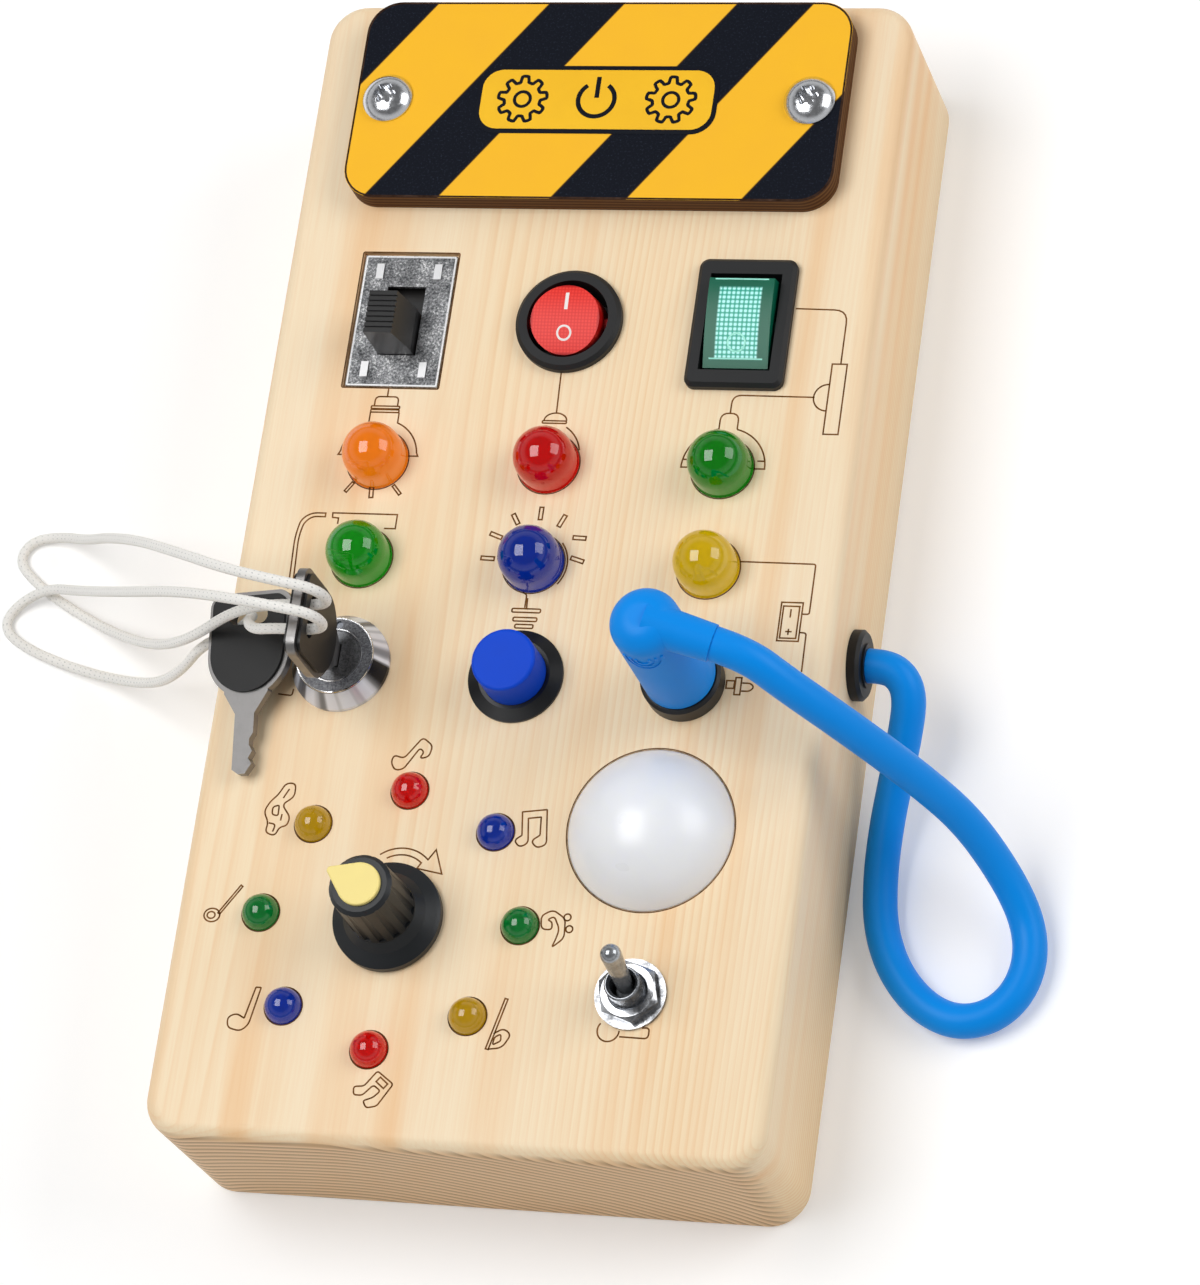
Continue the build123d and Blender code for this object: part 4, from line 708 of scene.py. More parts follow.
class BOARD_OT_stage(bpy.types.Operator):
    """Floor, camera and soft lights."""

    bl_idname = "board.stage"
    bl_label = "Floor, camera and lights"

    def execute(self, context):
        context.scene.view_settings.view_transform = "Standard"
        self.floor(3.0)
        self.daylight(context.scene)
        self.camera(context.scene)
        self.softbox("key light", (-0.331, -0.027, 0.944), 1.15, (0.62, 0.78), 8.0)
        self.softbox("side light", (0.761, 0.281, 0.586), 1.3, (0.66, 0.86), 5.4)
        return {"FINISHED"}

    @staticmethod
    def floor(size):
        """A matt white square that also shows a little light of its own to the camera and in reflections."""
        material, shader, node, _ = plain("matt white board", "#F4F4F4", 0.9)
        rays = node("LightPath")
        seen = node("Math MULTIPLY", rays.outputs["Is Camera Ray"], FLOOR_GLOW)
        glint = node("Math MULTIPLY", rays.outputs["Is Glossy Ray"], FLOOR_GLOW)
        node(shader, Emission_Color="#FFFFFF", Emission_Strength=node("Math ADD", seen, glint))
        mesh = bpy.data.meshes.new("floor")
        corners = [(-size, -size, 0), (size, -size, 0), (size, size, 0), (-size, size, 0)]
        mesh.from_pydata(corners, [], [range(4)])
        mesh.materials.append(material)
        placed("floor", mesh)

    @staticmethod
    def daylight(scene):
        """A grey world whose shade goes by height, so that metal has bands to show."""
        scene.world = bpy.data.worlds.new("even daylight")
        scene.world.use_nodes = True
        node = adder(scene.world.node_tree)
        height = node("SeparateXYZ", node("TexCoord").outputs["Generated"]).outputs["Z"]
        shades = [(0.0, 1.3), (0.05, 1.3), (0.1, 0.3), (0.16, 0.3), (0.24, 1.5), (0.5, 1.1), (0.62, 0.35)]
        sky = scene.world.node_tree.nodes["Background"]
        node(sky, Color=node("ValToRGB", height, stops=shades), Strength=0.44)

    @staticmethod
    def camera(scene):
        """A long lens high over the board's lower right. Its focal length is in pixels of the frame."""
        focal_pixels, frame_pixels, sensor = 5590.03, 1285, 36
        right = (0.95683975, 0.13712056, -0.25623358)
        up = (-0.03341228, 0.92774941, 0.37170507)
        back = (0.28868896, -0.34710084, 0.89228902)
        scene.camera = placed("camera", bpy.data.cameras.new("camera"))
        scene.camera.matrix_world = aimed(right, up, back, (0.33745, -0.40437, 1.03249))
        scene.camera.data.sensor_width = sensor
        scene.camera.data.lens = focal_pixels * sensor / frame_pixels
        scene.camera.data.clip_start = 0.01

    @staticmethod
    def softbox(name, way, distance, size, power):
        """A soft rectangular lamp in a direction from the board's middle, facing it."""
        lamp = bpy.data.lights.new(name, "AREA")
        lamp.shape = "RECTANGLE"
        lamp.size, lamp.size_y = size
        lamp.energy = power
        back = np.array(way) / np.linalg.norm(way)
        side = np.cross((0, 1, 0), back)
        side /= np.linalg.norm(side)
        placed(name, lamp).matrix_world = aimed(side, np.cross(back, side), back, back * distance)


class BOARD_OT_lead(bpy.types.Operator):
    """Blue lead from the grommet to the plug."""

    bl_idname = "board.lead"
    bl_label = "Blue lead"

    def execute(self, context):
        path = spline_spots(LEAD_ROUTE, 0.8)
        points, faces, _ = tube(path, 3.5, 32)
        skin = silicone("extruded silicone", context.scene.board_colours.lead)
        lead = piece("lead", points, faces, skin, None, "blue_rubber")
        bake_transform(lead)
        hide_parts("blue_cable")
        return {"FINISHED"}


class BOARD_OT_cords(bpy.types.Operator):
    """White braided cord: two loops through both keys."""

    bl_idname = "board.cords"
    bl_label = "White cord"

    def execute(self, context):
        pitch = context.scene.board_sizes.cord_pitch
        material = braided("#F3F1EC", "#A9A9A8")
        sides, hollow = 24, 0.09

        def crown(along, angle):
            """Two sets of eight strands that cross: 1 on a strand's crown, less where neither set has one."""
            turn = math.tau * along / (2 * pitch)
            return np.maximum(np.abs(np.cos(turn + 4 * angle)), np.abs(np.cos(turn - 4 * angle)))

        def braid(along, angle):
            """The share of the cord's radius: it falls between the strands."""
            return 1.0 - hollow * (1 - crown(along, angle))

        loops = {"upper": (UPPER_LOOP, 0.2746), "lower": (LOWER_LOOP, 0.2755)}
        for name, (route, length) in loops.items():
            path = spline_spots(route, pitch / 6)
            points, faces, away = tube(path, 1.1, sides, braid)
            cord = piece(f"cord_{name}", points, faces, material, None, "white_cord", sharp=80)
            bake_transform(cord)
            crowns = crown(away[:, None], np.arange(sides)[None, :] / sides * math.tau)
            shade = cord.data.attributes.new("braid", "FLOAT", "POINT")
            shade.data.foreach_set("value", crowns.ravel().astype(np.float32))
            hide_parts(f"key_cord_{name}")
        return {"FINISHED"}


class BOARD_OT_wood(bpy.types.Operator):
    """Pine block and its plywood back."""

    bl_idname = "board.wood"
    bl_label = "Block and back cover"

    def execute(self, context):
        pale = context.scene.board_colours.pine
        give(pine_wood("planed pine", pale, "#F7DAAA", "#EAB274", "#F0C896"), "block")
        give(pine_wood("birch plywood", "#E8D2AC", "#DDC096", "#C9A473", "#A8814F"), "back_cover")
        return {"FINISHED"}


class BOARD_OT_plate(bpy.types.Operator):
    """Striped plate with its screws and a plain printed panel."""

    bl_idname = "board.plate"
    bl_label = "Striped plate"

    def execute(self, context):
        colours = context.scene.board_colours
        give(striped_plywood(colours.stripe_light, colours.stripe_dark), "sign_plate")
        give(plated("zinc-plated steel", "#E4E6EA", 0.16, 0.12), "sign_screws")
        y, width, length, corner = PLATE
        ink = moulded("dark screen print", colours.stripe_dark, 0.6, 0.12)
        paint = moulded("yellow screen print", colours.stripe_light, 0.6, 0.12)
        char = burn_and_gap_shade("laser-charred plywood", "#2C190C")
        rim = strip(rounded_box(0, y, width - 0.5, length - 0.5, corner - 0.2), 0.5, 0.02, True, PLATE_TOP)
        piece("plate_rim", *rim, char, "board", "painted_plywood")
        label = slab(rounded_box(0, y, 52.0, 15.6, 5.0), PLATE_TOP - 0.02, PLATE_TOP + 0.12, 0.01)
        piece("label_edge", *label, ink, "board", "painted_plywood")
        field = slab(rounded_box(0, y, 50.0, 13.6, 4.2), PLATE_TOP + 0.1, PLATE_TOP + 0.2, 0.01)
        piece("label_field", *field, paint, "board", "painted_plywood")
        lines = [
            (arc(0, y, 3.9, 125, 415, 40), 1.1, False),
            ([(0, y + 0.4), (0, y + 5.2)], 1.1, False),
        ]
        for x in (-16.0, 16.0):
            lines += [(cog(x, y, 4.6, 9), 0.8, True), (ring(x, y, 1.7), 0.8, True)]
        marks = [strip(path, thick, 0.08, closed, PLATE_TOP + 0.19) for path, thick, closed in lines]
        piece("label_marks", *joined(marks), ink, "board", "painted_plywood")
        return {"FINISHED"}


class BOARD_OT_lamps(bpy.types.Operator):
    """Tinted lenses over coloured cores."""

    bl_idname = "board.lamps"
    bl_label = "Lamps"

    def execute(self, context):
        share = context.scene.board_sizes.lens_core
        for name, (x, y, *colours) in LARGE_LAMPS.items():
            slot = "lens_" + name.split("_")[0]
            self.lamp(name, [(x, y)], LAMP_RADIUS, LAMP_STAND, colours, share, f"lamp_{name}", slot)
        for name, (*colours, turns) in SMALL_LAMPS.items():
            places, small = [ring_place(turn) for turn in turns], f"small_{name}"
            self.lamp(small, places, SMALL_RADIUS, 0.0, colours, share, f"ring_lamps_{name}", f"lens_{name}")
        give(plated("tinned copper", "#B9B4A8", 0.3, 0.1), "lamp_leads")
        return {"FINISHED"}

    @staticmethod
    def lamp(name, places, radius, stand, colours, share, cad, slot):
        """A lens as a barrel under half a ball, flanged below the panel, and a smaller core inside it."""
        tint, *light = colours
        clear = tinted_lens(f"tinted epoxy {name}", tint)
        cloudy = lens_core(f"diffusing epoxy {name}", *light)
        foot, ledge, flange = FACE - 6.5, FACE - 5, radius + 0.9
        barrel = [(0, foot), (flange, foot), (flange, ledge), (radius, ledge), (radius, FACE)]
        profile = np.concatenate([barrel, arc(0, FACE + stand, radius, 0, 90, 17)])
        inner = radius * share
        post = np.concatenate([[(0, ledge), (inner, ledge)], arc(0, FACE + stand - 0.2, inner, 0, 90, 17)])
        outer = piece(f"lens_{name}", *joined([turned(profile, *p) for p in places]), clear, "board", slot)
        piece(f"core_{name}", *joined([turned(post, *p, 48) for p in places]), cloudy, "board", slot)
        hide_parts(cad)


class BOARD_OT_slide_switch(bpy.types.Operator):
    """Slide switch: nickel plate and ribbed knob."""

    bl_idname = "board.slide_switch"
    bl_label = "Slide switch"

    def execute(self, context):
        sheet = FACE - 0.4
        give(spangled("nickel-plated sheet", sheet), "slide_switch_plate")
        low, high = box_mm("slide_switch_plate")
        width, length = (high - low)[:2] - 0.5
        # A near-white strip round the plate's rim: a painted highlight along its edges.
        edge = strip(rounded_box(-COLUMN, SWITCH_ROW, width, length, 0.3), 0.45, 0.05, True, sheet)
        painted_edge_highlight = plated("nickel edge with painted highlight", "#F2F3F4", 0.3, metallic=0.3)
        piece("slide_plate_edge", *edge, painted_edge_highlight, "board", "plated_sheet")
        give(moulded("moulded nylon", "#131314", 0.36, 0.45), "slide_knob")
        give(moulded("phenolic tray", "#1A1614", 0.6), "slide_switch_body")
        return {"FINISHED"}


class BOARD_OT_rockers(bpy.types.Operator):
    """Round red rocker and oblong green rocker."""

    bl_idname = "board.rockers"
    bl_label = "Rocker switches"

    def execute(self, context):
        housing = moulded("moulded nylon housing", "#17181A", 0.5, 0.35)
        give(housing, "round_switch_body", "green_switch_body")
        red = lit_rocker("moulded red acrylic", 0, "#B80C0C", "#E2231C", "#F23C32", 6.9, 6.9, 0.7, 0.4)
        teals = "#07634A", "#0FA98E", "#BCFFFA"
        green = lit_rocker("moulded green acrylic", COLUMN, *teals, 4.4, 7.4, 0.95, 0.3)
        give(red, "round_rocker")
        give(green, "green_rocker")
        white = moulded("white pad print", "#F3EDEA", 0.5)
        stroke = [(0, SWITCH_ROW + 1.2 + 0.45 * k) for k in range(9)]
        marks = [(stroke, 0.85, False), (ring(0, SWITCH_ROW - 3.6, 1.4), 0.5, True)]
        self.print_on("round_rocker", marks, "red_marks", white, "red_rocker", "red_plastic")
        # The two lines along the rocker's ends are painted highlights on its raised end lips; the ring is a
        # printed mark.
        pale = moulded("pad print and painted highlight", "#9FF0DC", 0.4)
        ends = [[(COLUMN - 5.6 + 1.4 * k, SWITCH_ROW + y) for k in range(9)] for y in (8.3, -8.1)]
        marks = [(end, 0.35, False) for end in ends] + [(ring(COLUMN, SWITCH_ROW - 4.9, 1.8), 0.4, True)]
        self.print_on("green_rocker", marks, "green_marks", pale, "oblong_rocker", "green_plastic")
        give(plated("tinned brass", "#C9C2A8", 0.3, 0.1), "switch_terminals")
        return {"FINISHED"}

    @staticmethod
    def print_on(node, marks, name, material, body, slot):
        """Lays marks on a rocker's top as one piece that rides with it."""
        lines = [laid_on(strip(path, width, 0.03, closed), node) for path, width, closed in marks]
        piece(name, *joined(lines), material, body, slot)


class BOARD_OT_lock(bpy.types.Operator):
    """Key lock with both keys."""

    bl_idname = "board.lock"
    bl_label = "Lock and keys"

    def execute(self, context):
        top = FACE + 5.0
        give(turned_chrome("chromed die casting", *LOCK, top), "lock_barrel")
        give(plated("die-cast zinc", "#8E8F92", 0.35, 0.5, 0.4), "lock_plug")
        bright = plated("polished chrome", "#F2F3F5", 0.1)
        rims = ((7.95, 0.4), (5.6, 0.35))
        edges = [strip(ring(*LOCK, radius), width, 0.1, True, top) for radius, width in rims]
        piece("lock_bright_edges", *joined(edges), bright, "board", "chromed_zinc")
        give(plated("zinc-plated nut", "#B9BCC0", 0.3, 0.2), "lock_nut")
        give(moulded("phenolic block", "#2A211C", 0.55), "lock_contact_block")
        give(plated("nickel-plated steel", "#8E8C8B", 0.4, 0.12, 2.4), "key_steel", "spare_key_steel")
        give(moulded("moulded grip", "#0E0E0F", 0.4, 0.35), "key_grip", "spare_key_grip")
        return {"FINISHED"}


class BOARD_OT_button(bpy.types.Operator):
    """Push button."""

    bl_idname = "board.button"
    bl_label = "Push button"

    def execute(self, context):
        give(moulded("moulded bezel", "#131416", 0.32, 0.45), "button_body")
        give(moulded("moulded nut", "#26272A", 0.5), "button_nut")
        give(moulded("moulded cap", context.scene.board_colours.button, 0.45, 0.12), "button_cap")
        low, high = box_mm("button_spring")
        wire, turns, travel = 0.4, 5, 3.0
        share = np.linspace(0, 1, turns * 28 + 1)
        angle = share * turns * math.tau
        radius = (high[0] - low[0]) / 2 - wire
        middle = (low + high) / 2
        rise = low[2] + wire + share * (high[2] - low[2] - 2 * wire)
        coil = np.stack([middle[0] + radius * np.cos(angle), middle[1] + radius * np.sin(angle), rise], -1)
        points, faces, _ = tube(coil, wire, 12)
        steel = plated("drawn spring wire", "#A3A6AA", 0.25, 0.1)
        spring = piece("button_coil", points, faces, steel, "board", "spring_steel", sharp=60)
        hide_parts("button_spring")
        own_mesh(spring)
        return {"FINISHED"}


class BOARD_OT_plug(bpy.types.Operator):
    """Jack, plug and grommet."""

    bl_idname = "board.plug"
    bl_label = "Jack and plug"

    def execute(self, context):
        give(silicone("moulded silicone boot", context.scene.board_colours.lead), "plug_boot")
        give(plated("nickel-plated plug", "#C9CACC", 0.16), "plug_pin")
        give(moulded("moulded socket", "#131416", 0.4, 0.4), "jack_socket")
        give(plated("nickel-plated jack nut", "#BDBFC2", 0.25, 0.1), "jack_nut")
        give(moulded("moulded rubber", "#101112", 0.5, 0.35), "cable_grommet")
        return {"FINISHED"}


class BOARD_OT_dome(bpy.types.Operator):
    """Milky light dome."""

    bl_idname = "board.dome"
    bl_label = "Light dome"

    def execute(self, context):
        give(milky_dome(), "light_dome")
        give(moulded("solder mask", "#2E6B45", 0.4), "light_board")
        return {"FINISHED"}


class BOARD_OT_toggle(bpy.types.Operator):
    """Toggle switch."""

    bl_idname = "board.toggle"
    bl_label = "Toggle switch"

    def execute(self, context):
        give(plated("nickel-plated brass", "#9A9DA2", 0.2, 0.5, 1.6, 0.85), "toggle_bushing")
        give(plated("polished nickel", "#B2B5B9", 0.12, 0.4, 3.0, 0.65), "toggle_lever")
        give(plated("nickel-plated washer", "#C6C8CC", 0.18, 0.75, 2.6, 0.8), "toggle_washer")
        low, high = box_mm("toggle_nut")
        flats, bore, turn = 11.2, 3.6, 43
        shape = hexagon_nut(*(low + high)[:2] / 2, low[2], high[2], flats, bore, turn)
        bright = plated("nickel-plated hexagon", "#D4D6DA", 0.14, 0.6, 3.4, 0.85)
        nut = piece("toggle_hexagon", *shape, bright, "board", "switch_metal", sharp=20)
        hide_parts("toggle_nut")
        give(moulded("moulded toggle body", "#1F3A78", 0.45), "toggle_body")
        return {"FINISHED"}


class BOARD_OT_knob(bpy.types.Operator):
    """Rotary switch and its knob."""

    bl_idname = "board.knob"
    bl_label = "Knob"

    def execute(self, context):
        give(moulded("moulded knob", "#1E2124", 0.38, 0.32), "knob_body")
        give(moulded("moulded pointer", context.scene.board_colours.pointer, 0.5), "knob_pointer")
        give(plated("turned aluminium", "#C6C8CA", 0.3, 0.1), "rotary_shaft")
        give(plated("plated rotary nut", "#C2C4C6", 0.25, 0.1), "rotary_nut")
        give(moulded("moulded rotary body", "#2B2C2E", 0.5), "rotary_switch_body")
        return {"FINISHED"}


class BOARD_OT_battery(bpy.types.Operator):
    """Battery box, door, cells, contacts and the screws of the back."""

    bl_idname = "board.battery"
    bl_label = "Battery box and back screws"

    def execute(self, context):
        give(moulded("moulded battery box", "#1D1E20", 0.5), "battery_box", "battery_door")
        give(plated("shrink-sleeved cell", "#3F7F5B", 0.35), "battery_cells")
        give(plated("nickel-plated contact", "#C7C8CA", 0.25, 0.1), "battery_contacts")
        give(plated("zinc-plated screw", "#BFC1C4", 0.25, 0.2), "back_screws")
        return {"FINISHED"}


# ---------------------------------------------------------------- drawings


def line(points, cut=0.0):
    """An open line of a drawing, with its corners rounded by cut."""
    return softened(points, cut), False


def loop(points, cut=0.0):
    """A closed line of a drawing, with its corners rounded by cut."""
    return softened(points, cut, closed=True), True


def orange_bulb():
    """Cord, cap and two bands over a round shade, with three rays below."""
    x, y = -36.7, 20.6
    cap = [(x - 2.5, 32.1), (x - 2.5, 34.1), (x + 2.5, 34.1), (x + 2.5, 32.1)]
    bands = [loop(bar(x - 3.1, level, x + 3.0, level, 0.6), 0.2) for level in (31.7, 30.9)]
    shade = np.concatenate([[(x + 3.1, 30.6)], arc(x, y, 8.3, 68, 8), [(-28.1, 21.0), (-30.2, 21.0)]])
    rays = [(-42.4, 12.8, -41.0, 14.8, 0.6), (-36.7, 11.6, -36.9, 14.2, 0.8), (-30.6, 12.5, -32.3, 14.4, 0.6)]
    lines = [line([(x, 35.9), (x, 34.1)]), line(cap, 1.2), *bands, line(shade), line(mirrored(shade, x))]
    return lines + [loop(bar(*ray)) for ray in rays]


def red_bulb():
    """Long cord down to a domed cap with one band, and the side of a bulb."""
    cap = arc(0, 0, 1, 180, 0, 17) * (2.4, 1.7) + (0, 29.6)
    band = loop(bar(-2.7, 29.3, 2.4, 29.3, 0.55), 0.25)
    return [line([(-0.3, 40.4), (0, 31.3)]), line(cap), band, line(arc(-1.6, 21.6, 7.8, 58, 12))]


def pendant_lamp():
    """Wall bracket with a cord to a pendant's cap and wide shade."""
    x, y = 36.5, 20.1
    cap = [(x - 1.9, 28.6), (x - 1.9, 32.1), (x + 1.9, 32.1), (x + 1.9, 28.6)]
    shade = np.concatenate([[(x + 1.9, 28.6)], arc(x, y, 8.7, 74, 0), [(42.9, 20.1)]])
    foot = [(43.5, 21.8), (44.9, 21.8)]
    lamp = [line(cap, 1.7), line(shade), line(mirrored(shade, x)), line(foot), line(mirrored(foot, x))]
    return lamp + [
        line([(53.5, 36.0), (x, 36.1), (x, 32.1)], 2.2), line(arc(56.2, 36.0, 2.9, 90, 270)),
        loop(bar(57.8, 28.0, 57.8, 43.4, 3.1)), line([(47.1, 55.5), (58.0, 55.3), (58.0, 43.4)], 2.8),
    ]


def desk_lamp():
    """Flat shade over the lamp, on an arm of two lines that bends down to a foot beside the lock."""
    shade = [(-42.9, 5.6), (-42.9, 6.9), (-44.2, 7.0), (-44.3, 8.0), (-30.4, 8.0), (-30.4, 4.9), (-32.8, 4.9)]
    outer = softened([(-51.2, -9.0), (-51.6, 2.6), (-50.9, 6.4), (-48.8, 7.9), (-45.8, 7.9)], 2.0)
    inner = softened([(-50.3, -9.0), (-50.8, 2.4), (-50.2, 5.6), (-48.6, 7.1), (-45.8, 7.1)], 2.0)
    foot = [(-49.5, -31.8), (-46.5, -32.1), (-46.4, -30.6)]
    return [line(shade), line(np.concatenate([outer, inner[::-1]])), line(foot, 0.6)]


def blue_bulb():
    """Light bulb upside down: seven rays, the round glass, its neck and three bands."""
    rays = [
        (-5.8, 8.8, -4.5, 6.7), (0.0, 10.5, 0.0, 7.8), (5.2, 8.9, 4.1, 6.4), (10.2, 4.0, 7.5, 4.1),
        (10.4, -1.1, 7.7, -0.3), (-10.0, 4.5, -7.5, 3.6), (-11.2, -0.9, -8.4, -1.0),
    ]
    bands = [(-12.0, 3.0), (-13.9, 2.5), (-15.4, 1.9)]
    lines = [loop(bar(*ray, 0.8)) for ray in rays] + [line(arc(0, -1.7, 7.1, -38, 40))]
    lines += [loop(bar(-half, level, half, level, 0.8), 0.35) for level, half in bands]
    return lines + [line([(-0.1, -9.3), (0, -11.5)]), line([(-1.3, -8.1), (-0.4, -8.5), (-0.4, -11.4)], 0.5)]


def battery_circuit():
    """Wire from the yellow lamp to a battery sign and on to a plug sign."""
    return [
        line([(42.8, 0.0), (58.4, -0.1), (58.4, -10.8), (56.9, -10.8)], 0.5),
        line([(56.9, -14.7), (58.3, -14.8), (58.4, -23.0)], 0.5),
        loop([(52.5, -16.6), (56.9, -16.6), (56.9, -8.4), (52.5, -8.4)]),
        loop([(53.0, -16.0), (56.3, -16.0), (56.3, -9.2), (53.0, -9.2)]),
        line([(54.6, -9.8), (54.6, -11.6)]),
        line([(54.0, -14.6), (55.3, -14.6)]),
        line([(54.6, -14.0), (54.6, -15.3)]),
        loop(bar(43.5, -26.2, 45.1, -26.2, 1.6)),
        loop(bar(45.9, -24.7, 45.9, -28.3, 1.2)),
        line([(46.7, -25.8), (48.4, -25.8), (49.2, -26.6), (48.4, -27.5), (46.7, -27.5)], 0.6),
    ]


def eighth_note():
    """Slanting note with one flag above the red lamp."""
    points = [
        (-23.3, -45.4), (-22.9, -43.9), (-20.7, -44.5), (-17.4, -39.9), (-15.1, -41.6), (-15.6, -44.0),
        (-17.5, -44.4), (-16.7, -43.0), (-17.7, -42.2), (-20.5, -46.8), (-22.3, -47.1),
    ]
    return [loop(points, 0.9)]


def half_note():
    """Note with an open oval head and a plain stem."""
    outer, inner = (circle * (1.65, 1.4) + (-55.6, -79.3) for circle in (ring(0, 0, 1.0), ring(-0.1, 0, 0.5)))
    return [loop(outer), loop(inner), loop(bar(-54.2, -78.9, -50.3, -72.9, 0.5))]


def quarter_note():
    """Note with a filled-looking oval head, drawn as one outline."""
    points = [
        (-43.8, -93.8), (-42.7, -93.8), (-44.1, -101.6), (-45.6, -103.0), (-48.4, -102.4), (-48.7, -100.2),
        (-46.9, -99.4), (-45.2, -100.3),
    ]
    return [loop(points, [0.2, 0.2, 1.0, 1.0, 1.0, 1.0, 0.8, 0.2])]


def sixteenth_notes():
    """Two slanting notes under a beam with a slot."""
    points = [
        (-15.9, -109.5), (-12.3, -112.0), (-15.0, -116.6), (-17.1, -117.1), (-18.0, -115.7), (-16.0, -114.9),
        (-14.7, -113.5), (-16.3, -112.4), (-18.3, -114.6), (-20.1, -114.6), (-20.3, -112.9), (-18.2, -112.7),
    ]
    return [loop(points, 0.6), loop(bar(-15.5, -111.2, -13.8, -112.5, 1.2))]


def flat_sign():
    """Flat sign: a slanting stem and a bowl with a hole."""
    bowl = [(6.5, -100.6), (8.4, -99.4), (10.1, -100.6), (8.6, -103.4), (5.8, -103.8)]
    hole = [(6.8, -101.3), (8.0, -100.6), (8.2, -102.0), (6.6, -102.9)]
    return [loop(bar(5.6, -103.8, 8.1, -93.4, 0.6)), line(bowl, 1.2), loop(hole, 0.5)]


def bass_clef():
    """Bass clef: a hook drawn as one outline, with two dots beside it."""
    points = [
        (15.6, -82.5), (17.9, -80.4), (17.6, -76.4), (14.9, -74.7), (12.6, -76.0), (13.0, -78.8),
        (15.2, -78.8), (15.0, -77.2), (14.0, -76.8), (15.3, -76.0), (16.7, -78.6), (16.2, -80.9),
    ]
    return [loop(points, 1.0), loop(ring(18.0, -76.1, 0.7, 20)), loop(ring(18.7, -78.5, 0.7, 20))]


def beamed_notes():
    """Two eighth notes under one beam, drawn as one outline."""
    points = [
        (5.6, -54.7), (10.6, -54.0), (11.5, -61.3), (9.6, -62.1), (8.2, -60.7), (9.9, -59.4), (9.6, -55.6),
        (7.0, -56.0), (7.7, -61.2), (6.0, -62.1), (4.7, -60.7), (6.2, -59.6),
    ]
    return [loop(points, [0.1, 0.1, 0.9, 0.9, 0.9, 0.2, 0.1, 0.1, 0.9, 0.9, 0.9, 0.2])]


def turning_arrow():
    """Arc over the knob that ends in an arrowhead."""
    over, under = arc(-17.8, -71.2, 7.8, 127, 46), arc(-17.8, -71.2, 6.4, 50, 120)
    return [line(np.concatenate([over, [(-11.0, -63.4), (-9.1, -68.4), (-14.4, -67.5)], under]))]


def treble_clef():
    """Treble clef as a thick outline: a loop above, a round belly and a curled foot."""
    outer = [
        (-45.9, -53.4), (-44.6, -50.8), (-42.5, -50.8), (-42.4, -53.6), (-44.7, -55.4), (-42.6, -58.0),
        (-43.0, -59.8), (-44.5, -60.2), (-45.2, -62.1), (-47.4, -61.4), (-47.0, -59.4), (-48.3, -57.0),
        (-47.3, -54.8),
    ]
    leaf = [(-46.5, -57.6), (-46.6, -56.0), (-45.3, -55.5), (-45.2, -57.8)]
    curl = [(-46.9, -59.4), (-45.4, -59.6), (-45.8, -61.2)]
    strokes = [line([(-44.7, -54.0), (-43.7, -52.0)]), line([(-44.4, -57.4), (-44.5, -58.8)])]
    return [loop(outer, 1.0), loop(leaf, 0.5), *strokes, line(curl, 0.7)]


def toggle_sign():
    """Round switch sign with its bar, below the toggle."""
    rod = [(31.9, -99.8), (37.7, -99.9), (37.7, -97.7), (36.2, -97.8)]
    return [line(arc(29.5, -98.7, 2.2, 140, 362)), line(rod, 0.9)]


DRAWINGS = [
    orange_bulb, red_bulb, pendant_lamp, desk_lamp, blue_bulb, battery_circuit,
    eighth_note, half_note, quarter_note, sixteenth_notes, flat_sign, bass_clef,
    beamed_notes, turning_arrow, treble_clef, toggle_sign,
]


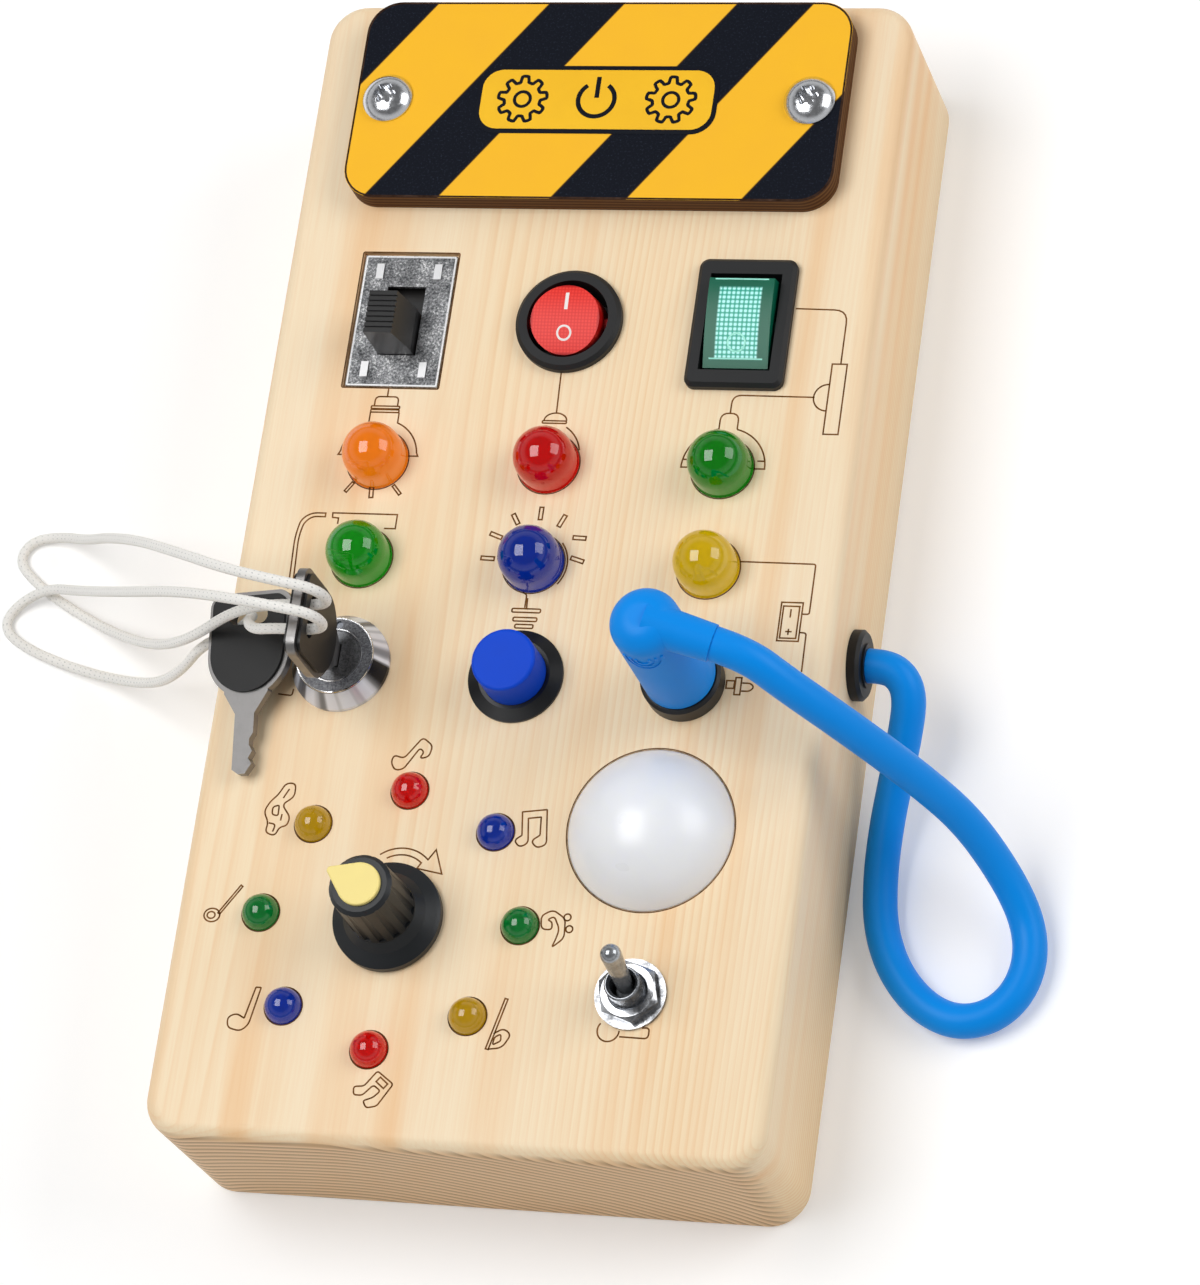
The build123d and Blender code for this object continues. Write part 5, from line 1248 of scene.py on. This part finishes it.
class BOARD_OT_engraving(bpy.types.Operator):
    """Laser-burnt drawings on the face, and dark rings of painted shade round the holes and the slide
    switch's recess.
    """

    bl_idname = "board.engraving"
    bl_label = "Burnt drawings"

    def execute(self, context):
        width = context.scene.board_sizes.line_width
        burnt = burn_and_gap_shade("laser-burnt pine", "#5E3A12")
        for drawing in DRAWINGS:
            lines = [strip(path, width, 0.02, closed) for path, closed in drawing()]
            piece(f"drawing_{drawing.__name__}", *joined(lines), burnt, "board", "pine")
        # Painted shade: dark rings in the gaps round the lamps, the dome and the slide switch's recess.
        gap_shade = burn_and_gap_shade("painted gap shade", "#4E3216")
        rings = [ring(x, y, LAMP_RADIUS + 0.3) for x, y, *_ in LARGE_LAMPS.values()]
        rings += [ring(*ring_place(turn), SMALL_RADIUS + 0.2, 32) for turn in range(8)]
        rings.append(ring(*DOME[:2], DOME[2] + 0.3, 96))
        rings.append(rounded_box(-COLUMN, SWITCH_ROW, 21.1, 30.8, 0.4))
        edges = [strip(path, 0.3, 0.02, True) for path in rings]
        piece("gap_shade_rings", *joined(edges), gap_shade, "board", "pine")
        return {"FINISHED"}


class BOARD_PT_panel(bpy.types.Panel):
    """Lists every step of the board."""

    bl_label = "Switch board"
    bl_idname = "BOARD_PT_panel"
    bl_space_type = "VIEW_3D"
    bl_region_type = "UI"
    bl_category = "Switch board"

    def draw(self, context):
        for group in (context.scene.board_sizes, context.scene.board_colours):
            for name in group.__annotations__:
                self.layout.prop(group, name)
        for step in STEPS:
            self.layout.operator(step.bl_idname)


STEPS = [
    BOARD_OT_stage,
    BOARD_OT_lead,
    BOARD_OT_cords,
    BOARD_OT_wood,
    BOARD_OT_plate,
    BOARD_OT_lamps,
    BOARD_OT_slide_switch,
    BOARD_OT_rockers,
    BOARD_OT_lock,
    BOARD_OT_button,
    BOARD_OT_plug,
    BOARD_OT_dome,
    BOARD_OT_toggle,
    BOARD_OT_knob,
    BOARD_OT_battery,
    BOARD_OT_engraving,
]
CLASSES = [BoardSizes, BoardColours, *STEPS, BOARD_PT_panel]


def register():
    """Registers the settings, the steps and the panel."""
    for kind in CLASSES:
        bpy.utils.register_class(kind)
    bpy.types.Scene.board_sizes = bpy.props.PointerProperty(type=BoardSizes)
    bpy.types.Scene.board_colours = bpy.props.PointerProperty(type=BoardColours)


def unregister():
    """Takes away what register added."""
    del bpy.types.Scene.board_sizes
    del bpy.types.Scene.board_colours
    for kind in reversed(CLASSES):
        bpy.utils.unregister_class(kind)


def main():
    """Registers the add-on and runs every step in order."""
    register()
    for step in STEPS:
        group, name = step.bl_idname.split(".")
        getattr(getattr(bpy.ops, group), name)()


if __name__ == "__main__":
    main()
